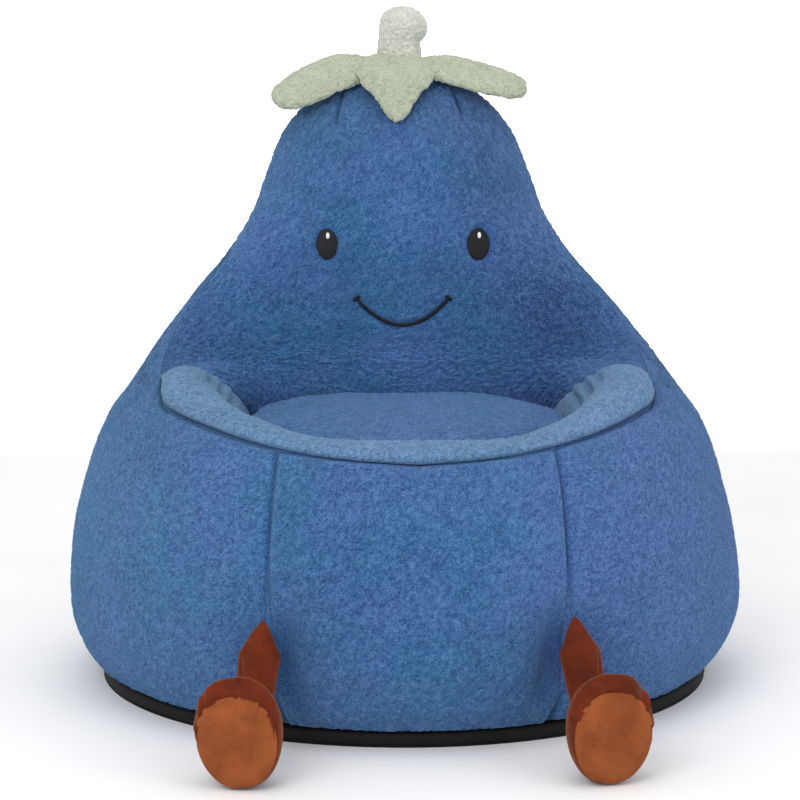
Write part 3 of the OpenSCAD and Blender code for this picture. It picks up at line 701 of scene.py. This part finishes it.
def face_shape(p):
    """Sunk under the stitching, with a dart on each side of the head."""
    push = -0.0022 * near_stitches(p)
    for side, low in ((-1, 0.738), (1, 0.752)):
        push += crease(p, on_face(side * 0.078, 0.800), on_face(side * 0.092, low), 0.0036, 0.0085)
    return push


def face_tone_and_shade(p):
    """Patches painted darker or lighter on the face: darker low on the left and on the upper left,
    lighter in the middle, painted shade over the top of the head, painted light low behind the cushion
    where it is shaded."""
    return (-0.85 * spot(p, on_face(0.225, 0.478), [0.070, 0.10, 0.085])
            - 0.45 * spot(p, on_face(0.125, 0.650), [0.060, 0.10, 0.110])
            + 0.10 * spot(p, on_face(0.020, 0.520), [0.12, 0.15, 0.10])
            # painted light low behind the cushion, where the rim and cushion shade the face
            + 0.90 * spot(p, on_face(0.0, 0.400), [0.22, 0.15, 0.060])
            # painted shade over the top of the head
            - 0.50 * np.clip((p[..., 2] - 0.62) / 0.15, 0, 1)
            + 0.25 * swells(p, 47, 0.10, 1.0))


def face_panel():
    low, high = DECK_Z - 0.002, CROWN_SHARE * HEIGHT
    swing = np.linspace(-90, 90, count(0.70))[None, :]
    surface = even(lambda v: face_surface(swing, low + (high - low) * v + 0 * swing), 0.56)
    seams = [SOFT_SEAM, SOFT_SEAM, WELL_SEAM, FOOT_SEAM]
    panel("face_panel", surface, seams, BLUE, 41, face_shape, near_stitches, face_tone_and_shade)


def arm_rolls(p):
    """Rolls of cloth on the inside of the arms, deeper on the left one."""
    push = np.zeros(p.shape[:2])
    for side, strength in ((1, 1.0), (-1, 0.55)):
        for start, end, turn, depth in ((0.74, 0.95, 0.62, 0.0080), (0.70, 0.96, 0.72, 0.0100),
                                        (0.72, 0.95, 0.83, 0.0090)):
            a, b = rim_surface(side * start, turn + 0.02), rim_surface(side * end, turn - 0.02)
            push += crease(p, a, b, 0.0065, depth * strength)
    return push


def rim_band():
    way = np.linspace(-0.992, 0.992, count(1.30))[None, :]
    surface = even(lambda turn: rim_surface(way + 0 * turn, turn + 0 * way), 0.20)
    seams = [SOFT_SEAM, SOFT_SEAM, TOP_SEAM, FOOT_SEAM]
    # the rim takes the lighter plush, a painted highlight
    panel("rim_band", surface, seams, LIT_RIM_BLUE, 51, arm_rolls)


def wall_normal(angle, z):
    step = 0.001
    around = wall(angle + step, z) - wall(angle - step, z)
    rise = wall(angle, z + step) - wall(angle, z - step)
    return unit(np.cross(around, rise))


def into_body(angle, z, level=0.0, back=0.0):
    """The way in from the wall. level turns it towards the horizontal, back towards the rear."""
    inward = -wall_normal(angle, z)
    inward[:, 2] *= 1 - level
    inward[:, 1] += back
    return inward


def seam_core(name, line, inward, radius=0.0060, inset=0.0080):
    """The folded allowance that closes a seam from behind."""
    inward = unit(inward)
    centre = line + inward * (inset + radius)
    along = directions(centre)
    across = unit(np.cross(along, inward))
    up = np.cross(across, along)
    turn = circle(10)
    rings = centre[:, None] + radius * (across[:, None] * cosd(turn)[None, :, None]
                                        + up[:, None] * sind(turn)[None, :, None])
    ends = [np.repeat(centre[[k], None], len(turn), axis=1) for k in (0, -1)]
    rings = np.concatenate([ends[0], rings, ends[1]])
    flat = np.zeros(rings.shape[:2])
    # the core's pile is painted darker than the panels', a painted shade inside the seam
    place(new_tube(name, rings, BLUE, tuft=flat + 0.4, brushed=flat - 0.2), "chair", "plush_blue")


def seam_cores():
    angle = np.linspace(-65.0, 65.0, 180)
    z = edge_z(angle)
    seam_core("rim_seam_core", wall(angle, z), into_body(angle, z, level=0.5), 0.0095)
    v = np.linspace(0, 1, 110)

    def rising(top):
        return BAND_Z + (top - BAND_Z) * v

    share = FACE_CORE + (CROWN_SHARE - FACE_CORE) * v
    lines = (("front", SEAM_LOW + (SEAM_TOP - SEAM_LOW) * v, rising(edge_z(SEAM_TOP)), 0),
             ("face", seam_at(share)[:, 0], share * HEIGHT, 0.5),
             ("side", SIDE_SEAM + (SIDE_TOP - SIDE_SEAM) * v, rising(EDGE[-1][1] * HEIGHT), 0))
    for side, word in SIDES:
        for seam, angle, z, back in lines:
            seam_core(f"{word}_{seam}_seam_core", wall(side * angle, z),
                      into_body(side * angle, z, back=back))
        z = np.linspace(DECK_Z, (JUNCTION - 0.006) * HEIGHT, 60)
        seam_core(word + "_crease_core", face_edge(z) * [side, 1, 1],
                  np.array([side, 0.9, 0]) + 0 * z[:, None], 0.0075, 0.0045)
    z = rising(CROWN_SHARE * HEIGHT)
    seam_core("back_seam_core", wall(180 + 0 * z, z), into_body(180 + 0 * z, z))


def crown_cap():
    """The top of the head, closed over under the leaves."""
    share = np.linspace(0, 1, 22)[:, None]
    angle = np.linspace(-180, 180, 110)[None, :-1]
    edge = wall(angle, CROWN_SHARE * HEIGHT)
    middle = np.array([0, HEAD_Y, 0])
    p = middle + (edge - middle) * [1, 1, 0] * np.cos(share * math.pi / 2)[..., None] * 0.985
    p[..., 2] = CROWN_SHARE * HEIGHT + 0.006 * np.sin(share * math.pi / 2)
    obj = new_tube("crown_patch", p, BLUE, tuft=tufts(p, 61))
    place(obj, "chair", "plush_blue", "crown_patch")


WELL_FRONT, WELL_BACK = -0.650 * HALF_D, 0.305 * HALF_D
WELL_Y = (WELL_FRONT + WELL_BACK) / 2
CUSHION_X, CUSHION_Y, CUSHION_RISE = 0.212, (WELL_BACK - WELL_FRONT) / 2 - 0.009, 0.046


def rounded(half_x, half_y, angle, power=2.5):
    """A rounded square outline round the middle of the well."""
    c, s = cosd(angle), sind(angle)
    return (half_x * np.sign(c) * np.abs(c) ** (2 / power),
            WELL_Y + half_y * np.sign(s) * np.abs(s) ** (2 / power))


def well_deck():
    """The deck under the cushion, turned up a little at its edge."""
    share = np.linspace(1, 0.02, 26)[:, None]
    angle = circle(140)[None, :]
    x, y = rounded((CUSHION_X + 0.024) * share, (CUSHION_Y + 0.030) * share, angle, 4.0)
    p = stack(x, y, DECK_Z + 0.0015 + 0.004 * share**6 + 0 * angle)
    obj = new_tube("well_deck", p, BLUE, tuft=0.4 * tufts(p, 65))
    place(obj, "chair", "plush_blue", "well_deck")


def seat_cushion():
    """The cover bulges out from its lower seam, then domes over."""
    share = np.linspace(0, 1, 82)[:, None]
    angle = circle(460)[None, :]
    side_share, side_rise = 0.12, 0.016
    low = np.clip(share / side_share, 0, 1)
    dome = np.clip((share - side_share) / (1 - side_share), 0, 1) * math.pi / 2
    reach = np.where(share < side_share, 0.955 + 0.045 * np.sin(low * math.pi / 2),
                     np.cos(dome) ** 0.92)
    lift = side_rise * low + (CUSHION_RISE - side_rise) * np.sin(dome) ** 0.8
    x, y = rounded(CUSHION_X * reach, CUSHION_Y * reach, angle)
    p = stack(x, y, DECK_Z + 0.006 + lift + 0 * angle)
    p[-1, :, :2] = p[-2, :, :2] * 0.02 + np.array([0, WELL_Y]) * 0.98
    n = grid_normals(p, around=True)
    p = p - n * PILE * 0.6
    height = tufts(p, 71)
    p = p + n * (swells(p, 73, 0.09, 0.0045) + 0.0034 * height)[..., None]
    obj = new_tube("seat_cushion", p, BLUE, tuft=height, brushed=-0.10 + 0 * height)
    place(obj, "chair", "plush_blue", "seat_cushion_cover")


# ---------------------------------------------------------------- embroidery
def oval(name, x, z, w, h, proud, material, *nodes):
    """A padded satin-stitch oval lying on the face."""
    share = np.linspace(1, 0, 14)[:, None]
    angle = circle(48)[None, :]
    px, pz = x + w / 2 * share * cosd(angle), z + h / 2 * share * sind(angle)
    p = on_face(px, pz)
    p[..., 1] += 0.0035 - proud * np.sqrt(np.clip(1 - share**2.5, 0, 1)) + 0 * angle
    slot = "thread_black" if material == THREAD else "thread_white"
    place(new_tube(name, p, material), "chair", slot, *nodes)


def stroke(points, radius_a, radius_b):
    """Rings round a stitched line that lies on the face, flat against it."""
    along = directions(points)
    across = unit(np.cross(along, [0, 1.0, 0]))
    out = np.cross(along, across)
    turn = circle(12)
    n = len(points)
    ends = np.sin(np.clip(np.minimum(np.arange(n), np.arange(n)[::-1]) / 2.5, 0, 1) * math.pi / 2)
    ends = np.maximum(ends, 0.05)[:, None, None]
    return (points[:, None] + ends * (across[:, None] * cosd(turn)[None, :, None] * radius_a
                                      + out[:, None] * sind(turn)[None, :, None] * radius_b))


def smile():
    """A stitched arc with a short stroke across each end."""
    lines = [smile_line(np.linspace(-1, 1, 90))]
    for side in (-1, 1):
        x = FACE_X + side * SMILE_HALF + np.linspace(-0.0058, 0.0058, 9)
        lines.append(on_face(x, SMILE_Z + 0.001 - side * np.linspace(-0.0042, 0.0042, 9)))
    verts, faces, first = [], [], 0
    for line in lines:
        line[:, 1] += 0.0012
        rings = stroke(line, 0.0022, 0.0018)
        faces += grid_faces(*rings.shape[:2], around=True, first=first).tolist()
        verts.append(rings.reshape(-1, 3))
        first += rings.shape[0] * rings.shape[1]
    obj = new_mesh("smile", np.concatenate(verts), faces, THREAD)
    place(obj, "chair", "thread_black", "smile")


def eyes():
    for side, word in SIDES:
        x = FACE_X + side * EYE_X
        oval(word + "_eye", x, EYE_Z, EYE_W, EYE_H, 0.0030, THREAD, word + "_eye")
        oval(word + "_eye_glint", x + 0.001, EYE_Z + 0.0125, 0.0062, 0.0105, 0.0040, WHITE,
             word + "_eye_glint")


# ---------------------------------------------------------------- legs and feet
FOOT_CENTRE = np.array([0.218, -0.583, 0.057])
SOLE_W, SOLE_H, FOOT_DEPTH, ANKLE_LIFT = 0.096, 0.108, 0.066, 0.13
ANKLE_R = 0.025
FOOT = curve([[0, 1.0, 1.0, 0], [0.10, 1.035, 1.06, 0.02], [0.32, 1.06, 1.19, 0.07],
              [0.62, 0.99, 1.06, 0.08], [0.85, 0.80, 0.82, 0.11], [1, 0.56, 0.52, ANKLE_LIFT],
              [1.1, 0.50, 0.46, ANKLE_LIFT + 0.01]])


def turned(p, yaw=12.0, roll=9.0, lean=4.0):
    """From the foot's own frame, whose sole faces -Y, to its place on the left of the chair."""
    x, y, z = np.moveaxis(np.asarray(p, float), -1, 0)
    x, y = x * cosd(yaw) - y * sind(yaw), x * sind(yaw) + y * cosd(yaw)
    x, z = x * cosd(roll) + z * sind(roll), z * cosd(roll) - x * sind(roll)
    return FOOT_CENTRE + stack(x, y * cosd(lean) + z * sind(lean), z * cosd(lean) - y * sind(lean))


def foot_outline(back, w, h, lift, angle):
    """A ring of the foot, a little wider at the toe than at the heel."""
    c, s = cosd(angle), -sind(angle)
    return stack(SOLE_W / 2 * w * np.sign(c) * np.abs(c) ** 0.86 * (1 + 0.06 * s), back,
                 SOLE_H * lift + SOLE_H / 2 * h * s)


ANKLE = turned([0, FOOT_DEPTH + 0.006, ANKLE_LIFT * SOLE_H])
HIP = wall(LEG_ANGLE, HIP_Z) + [0.002, -0.007, 0]


def gathers(angle, back, seed):
    """Pleats where the toe cap is gathered into the sole's seam."""
    ring = stack(cosd(angle) * 3, sind(angle) * 3, back * 8)
    folds = lattice_noise(ring, 0.62, seed)
    ridged = 1 - np.abs(2 * folds - 1) * 2.2
    top = np.clip(-sind(angle) * 1.3 + 0.25, 0, 1)
    return ridged * np.exp(-(back / 0.020) ** 1.3) * top


def foot_upper(side, word):
    share = np.linspace(0, 1.06, 74)[:, None]
    angle = circle(160)[None, :]
    f = FOOT(share)
    back = share * FOOT_DEPTH
    p = turned(foot_outline(back, f[..., 0], f[..., 1], f[..., 2], angle))
    pull = -0.0026 * np.exp(-(back / 0.004) ** 2)
    creases = 0.0046 * (gathers(angle, back, 81 + side) - 0.25 * np.exp(-(back / 0.02) ** 1.3))
    folds = 0.0016 * (lattice_noise(p * [1, 0.6, 1], 0.022, 85 + side) - 0.5)
    obj = new_tube(word + "_foot_upper", raised(p, pull + creases + folds), BROWN, side)
    place(obj, None, "velour_brown", word + "_foot_upper")
    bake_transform(obj)


def foot_sole(side, word):
    share = np.linspace(1, 0, 34)[:, None]
    angle = circle(160)[None, :]
    dome = 0.0090 * (1 - share**4.0) - 0.0026
    p = turned(foot_outline(-dome + 0 * angle, share * 0.99, share * 0.99, 0 * share, angle))
    pull = 0.0016 * gathers(angle, (1 - share) * 0.05 + 0 * angle, 91 + side)
    p = raised(p, pull + 0.0012 * (lattice_noise(p, 0.026, 95 + side) - 0.5))
    obj = new_tube(word + "_foot_sole", p, TAN, side)
    place(obj, word + "_foot", "velour_tan", word + "_foot_sole")


def leg_line(share):
    """The leg's middle line, from the hip at 0 to the ankle at 1."""
    axis = turned([0, 1, 0]) - turned([0, 0, 0])
    return bezier(share, HIP, HIP + (ANKLE - HIP) * 0.3 + [0, 0.006, -0.008], ANKLE + axis * 0.034,
                  ANKLE - axis * 0.004)


def leg(side, word):
    """The leg is sewn flat into the seam at its pointed top and fills out to a tube."""
    share, turn = np.linspace(0.0, 1.0, 84), circle(96)
    centre = leg_line(share)
    along = directions(centre)
    across = unit(np.cross(along, [0, 0, 1.0]))
    up = np.cross(along, across)
    wide = ANKLE_R * (0.98 - 0.05 * share) * np.clip(share / 0.30, 0.02, 1) ** 0.85
    wide *= 1 + 0.06 * np.exp(-((share - 0.33) / 0.09) ** 2)
    deep = ANKLE_R * 0.95 * np.clip(share / 0.42, 0.02, 1) ** 0.8
    p = (centre[:, None] + across[:, None] * (wide[:, None] * cosd(turn))[..., None]
         + up[:, None] * (deep[:, None] * sind(turn))[..., None])
    s, a = share[:, None], turn[None, :]
    push = np.zeros(p.shape[:2])
    for at, width, depth, low, high in ((228, 9, 0.0022, 0.30, 0.92), (262, 7, 0.0014, 0.22, 0.70),
                                        (300, 8, 0.0016, 0.42, 0.95), (205, 8, 0.0012, 0.5, 1.0)):
        wander = at + 9 * np.sin(s * 9 + at)
        fade = np.clip((s - low) / 0.12, 0, 1) * np.clip((high - s) / 0.12, 0, 1)
        push -= depth * np.exp(-((a - wander) / width) ** 2) * fade
    push += 0.0014 * (lattice_noise(p * [1, 1, 0.5], 0.016, 101 + side) - 0.5)
    obj = new_tube(word + "_leg", raised(p, push), BROWN, side)
    place(obj, None, "velour_brown", word + "_leg")
    start, end = (HIP + [0, 0, 0.002]) * [side, 1, 1], leg_line(0.35) * [side, 1, 1]
    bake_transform(obj)


# ---------------------------------------------------------------- crown
CROWN = np.array([-0.004, 0.2278, 0.8276])


def leaf(name, heading, path, width, thick, tilt=0.0):
    """A stuffed leaf along a path of (distance out, height). Its front edge hangs by the tilt."""
    line, outline = curve(path), curve(width)
    s = (1 - np.cos(np.linspace(0, math.pi, 100))) / 2
    out = np.array([sind(heading), -cosd(heading), 0])
    side = np.array([cosd(heading), sind(heading), 0])
    q = line(s)
    centre = CROWN * [1, 1, 0] + out * q[:, :1] + np.array([0, 0, 1.0]) * q[:, 1:2]
    up = np.cross(side, directions(centre))
    up *= np.sign(up[:, 2:3] + 1e-9)
    across = side * cosd(tilt) + up * sind(tilt)
    up = up * cosd(tilt) - side * sind(tilt)
    half = outline(s)[:, 0] * np.sqrt(np.clip(1 - ((s - 0.88) / 0.12).clip(0) ** 2, 0.0004, 1))
    fat = thick / 2 * np.sqrt(np.clip(1 - ((s - 0.90) / 0.10).clip(0) ** 2, 0.0004, 1))
    c, d = cosd(circle(84)), sind(circle(84))
    x = np.sign(c) * np.abs(c) ** 0.85
    z = np.sign(d) * np.abs(d) ** 0.85
    sag = -0.12 * (half[:, None] * np.abs(x)) ** 2 / 0.03
    p = (centre[:, None] + across[:, None] * (half[:, None] * x)[..., None]
         + up[:, None] * (fat[:, None] * z + sag)[..., None])
    seed = int(heading) + 400
    height = tufts(p, seed)
    ridge = 0.0012 * np.exp(-(x / 0.10) ** 2) * np.clip(d, 0, 1)
    p = raised(p, 0.0024 * height - 0.0012 - ridge + swells(p, seed + 10, 0.03, 0.0016))
    p[0], p[-1] = p[0].mean(0), p[-1].mean(0)
    obj = new_tube(name, p, SAGE, tuft=height)
    place(obj, None, "plush_sage", name)
    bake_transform(obj)


def leaves():
    front = [[0, 0.026, 0.832], [0.28, 0.054, 0.826], [0.50, 0.070, 0.806], [0.76, 0.082, 0.780],
             [1, 0.100, 0.749]]
    wide = [[0, 0.053], [0.30, 0.056], [0.48, 0.050], [0.76, 0.027], [1, 0.0105]]
    leaf("front_leaf", 0, front, wide, 0.017)
    for word, heading, reach, rise, tilt, root in (("left", 74, 0.192, 0.004, 22, 0.030),
                                                   ("right", -74, 0.180, -0.008, -31, 0.026)):
        path = [[0, 0.035, 0.8255], [0.3, 0.072, 0.827 + rise * 0.2], [0.55, 0.115, 0.816 + rise * 0.5],
                [0.8, reach - 0.026, 0.799 + rise], [1, reach, 0.784 + rise]]
        arm = [[0, root], [0.3, 0.036], [0.6, 0.040], [0.85, 0.032], [1, 0.022]]
        leaf(word + "_leaf", heading, path, arm, 0.022, tilt)
    rear = [[0, 0.042], [0.3, 0.050], [0.5, 0.043], [0.8, 0.027], [1, 0.014]]
    for word, heading in (("left", 128), ("right", -128)):
        path = [[0, 0.024, 0.833], [0.3, 0.070, 0.822], [0.6, 0.106, 0.796], [0.85, 0.132, 0.762],
                [1, 0.146, 0.738]]
        leaf(word + "_rear_leaf", heading, path, rear, 0.020)


def calyx_hub():
    share = np.linspace(1, 0, 40)[:, None]
    angle = circle(180)[None, :]
    dome = np.sqrt(np.clip(1 - share**2.4, 0, 1))
    p = stack(CROWN[0] + 0.060 * share * cosd(angle), CROWN[1] + 0.056 * share * sind(angle),
              0.8175 + 0.0275 * dome + 0 * angle)
    height = tufts(p, 501)
    p = raised(p, 0.002 * height + swells(p, 503, 0.03, 0.001))
    place(new_tube("calyx_hub", p, SAGE, tuft=height), "chair", "plush_sage", "calyx_hub")


END_TILT = 14                                  # lean of the stem's end, degrees


def stem():
    """The stem curls to one side and ends in a blunt bulb."""
    line = curve([[0, 0.007, 0.834, 0.0310, 0], [0.30, 0.0065, 0.850, 0.0305, 0],
                  [0.55, 0.0068, 0.8620, 0.0300, 2], [0.80, 0.0112, 0.8755, 0.0338, 9],
                  [1, 0.0130, 0.8845, 0.0352, END_TILT]])
    turn = circle(100)
    rings = []
    for x, z, r, tilt in line(np.linspace(0, 1, 70)):
        across = np.array([cosd(tilt), 0, -sind(tilt)])
        rings.append(np.array([CROWN[0] + x, CROWN[1], z])
                     + r * (across * cosd(turn)[:, None] + np.array([0, 1.0, 0]) * sind(turn)[:, None]))
    last, tip = rings[-1], rings[-1].mean(0)
    axis = np.array([sind(END_TILT), 0, cosd(END_TILT)])
    for a in np.linspace(0, 90, 34)[1:]:
        rings.append(tip + (last - tip) * cosd(a) + axis * 0.0285 * sind(a))
    p = np.array(rings)
    height = tufts(p, 511)
    p = raised(p, 0.0024 * height - 0.0016 + swells(p, 513, 0.03, 0.002))
    p[-1] = p[-1].mean(0)
    obj = new_tube("stem", p, STEM_SAGE, tuft=height)
    place(obj, None, "plush_sage", "stem")
    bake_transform(obj)


# ---------------------------------------------------------------- base and zip
def base_band():
    """A band of coated cloth round the base, pulled over the edge of the base panel."""
    angle = np.linspace(0, 360, 361)[None, :-1]
    profile = np.array([[0.4085, 0.0012], [0.4135, 0.0006], [0.4165, 0.0022], [0.4178, 0.006],
                        [0.4182, 0.011], [0.4176, 0.0155], [0.4150, 0.0186], [0.4080, 0.0200]])
    r = profile[:, 0][:, None] + 0.0005 * np.sin(np.radians(angle * 23)) * np.sin(np.radians(angle * 7))
    p = stack(-r * sind(angle), r * cosd(angle), profile[:, 1][:, None] + 0 * angle)
    obj = new_mesh("base_band", p, grid_faces(*p.shape[:2], around=True).tolist(), BLACK)
    place(obj, "chair", "oxford_black", "base_band")


def zip_chain():
    """Two rows of interlocked teeth round the back."""
    radius, z, half = 0.4198, 0.0101, 60.0
    teeth = 296
    verts, faces = [], []
    block = np.array([[x, y, h] for x in (-1, 1) for y in (-1, 1) for h in (-1, 1)], float)
    sides = [[0, 1, 3, 2], [4, 6, 7, 5], [0, 4, 5, 1], [2, 3, 7, 6], [0, 2, 6, 4], [1, 5, 7, 3]]
    for i in range(teeth):
        a = math.radians(-half + 2 * half * (i + 0.5) / teeth)
        tooth = block * [0.0011, 0.0011, 0.0019]
        tooth[:, 0] *= np.where(tooth[:, 2] * (1 if i % 2 else -1) > 0, 1.0, 0.62)
        tooth[:, 2] += 0.0008 if i % 2 else -0.0008
        x, y = tooth[:, 0], tooth[:, 1] + radius
        verts.append(np.stack([x * math.cos(a) - y * math.sin(a), x * math.sin(a) + y * math.cos(a),
                               tooth[:, 2] + z], -1))
        faces += [[8 * i + k for k in side] for side in sides]
    obj = new_mesh("zip_chain", np.concatenate(verts), faces, NYLON)
    obj.data.polygons.foreach_set("use_smooth", [False] * len(obj.data.polygons))
    place(obj, "chair", "zip_nylon", "zip_chain")


def keep_cad_nodes():
    """CAD nodes whose shape is right get their own material."""
    for material, nodes in ((BLACK, "base_panel zip_tape"),
                            (STEEL, "zip_stops zip_slider zip_pull"),
                            (LINER, "seat_liner_wall seat_liner_floor seat_liner_top"),
                            (BEADS, "seat_bead_fill bolster_bead_fill back_bead_fill"),
                            (FIBRE, "seat_cushion_pad stem_filling left_leg_filling"
                                    " right_leg_filling left_foot_filling right_foot_filling")):
        for node in nodes.split():
            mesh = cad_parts[node].data
            mesh.materials.clear()
            mesh.materials.append(material)


# ---------------------------------------------------------------- stage
def camera():
    data = bpy.data.cameras.new("camera")
    data.sensor_width, data.lens = 36.0, 105.48
    obj = bpy.data.objects.new("camera", data)
    azimuth, distance, height, tilt, aside = -2.4, 3.2, 0.825, 8.07, -0.0055
    obj.location = (distance * sind(azimuth) + aside, -distance * cosd(azimuth), height)
    obj.rotation_euler = (math.radians(90 - tilt), 0, math.radians(azimuth))
    bpy.context.scene.collection.objects.link(obj)
    bpy.context.scene.camera = obj


def lamp(name, place_at, size, energy, target=(0, 0, 0.45)):
    data = bpy.data.lights.new(name, "AREA")
    data.shape, data.size, data.energy = "DISK", size, energy
    obj = bpy.data.objects.new(name, data)
    obj.location = place_at
    away = np.array(place_at) - np.array(target)
    obj.rotation_euler = Vector(away).to_track_quat("Z", "Y").to_euler()
    bpy.context.scene.collection.objects.link(obj)


def stage():
    """A pale floor that curves up into a wall far behind the chair."""
    plain = Nodes("stage_floor")
    plain.colour(plain.ramp(plain.noise(3.0), ((0.3, grey(0.90)), (0.7, grey(0.93)))))
    plain.set(Roughness=0.9)
    bend, far, wide = 3.0, 6.0, 16.0
    turn = np.linspace(0, 90, 25)
    y = np.concatenate([[-14.0], far + bend * sind(turn), [far + bend]])
    z = np.concatenate([[0.0], bend * (1 - cosd(turn)), [14.0]])
    p = stack(np.array([[-wide, wide]]), y[:, None], z[:, None])
    floor = new_mesh("floor", p, grid_faces(*p.shape[:2]).tolist(), plain.material)
    world = bpy.data.worlds.new("studio")
    world.use_nodes = True
    sky = world.node_tree.nodes["Background"]
    sky.inputs[0].default_value, sky.inputs[1].default_value = (1, 1, 1, 1), 0.85
    bpy.context.scene.world = world
    bpy.context.scene.view_settings.view_transform = "Standard"
    lamp("key", (-1.5, -2.9, 2.2), 2.2, 42)
    lamp("fill", (2.4, -2.2, 1.2), 2.4, 18)
    lamp("top", (0.0, -0.3, 3.0), 2.0, 10)
    lamp("backdrop", (0.0, 3.4, 4.2), 5.0, 420, target=(0, 9.0, 2.0))


camera()
stage()
front_panel()
for hand, word in SIDES:
    side_panel(hand, word)
    back_panel(hand, word)
face_panel()
rim_band()
seam_cores()
crown_cap()
well_deck()
seat_cushion()
eyes()
smile()
for hand, word in SIDES:
    leg(hand, word)
    foot_upper(hand, word)
    foot_sole(hand, word)
leaves()
calyx_hub()
stem()
base_band()
zip_chain()
keep_cad_nodes()
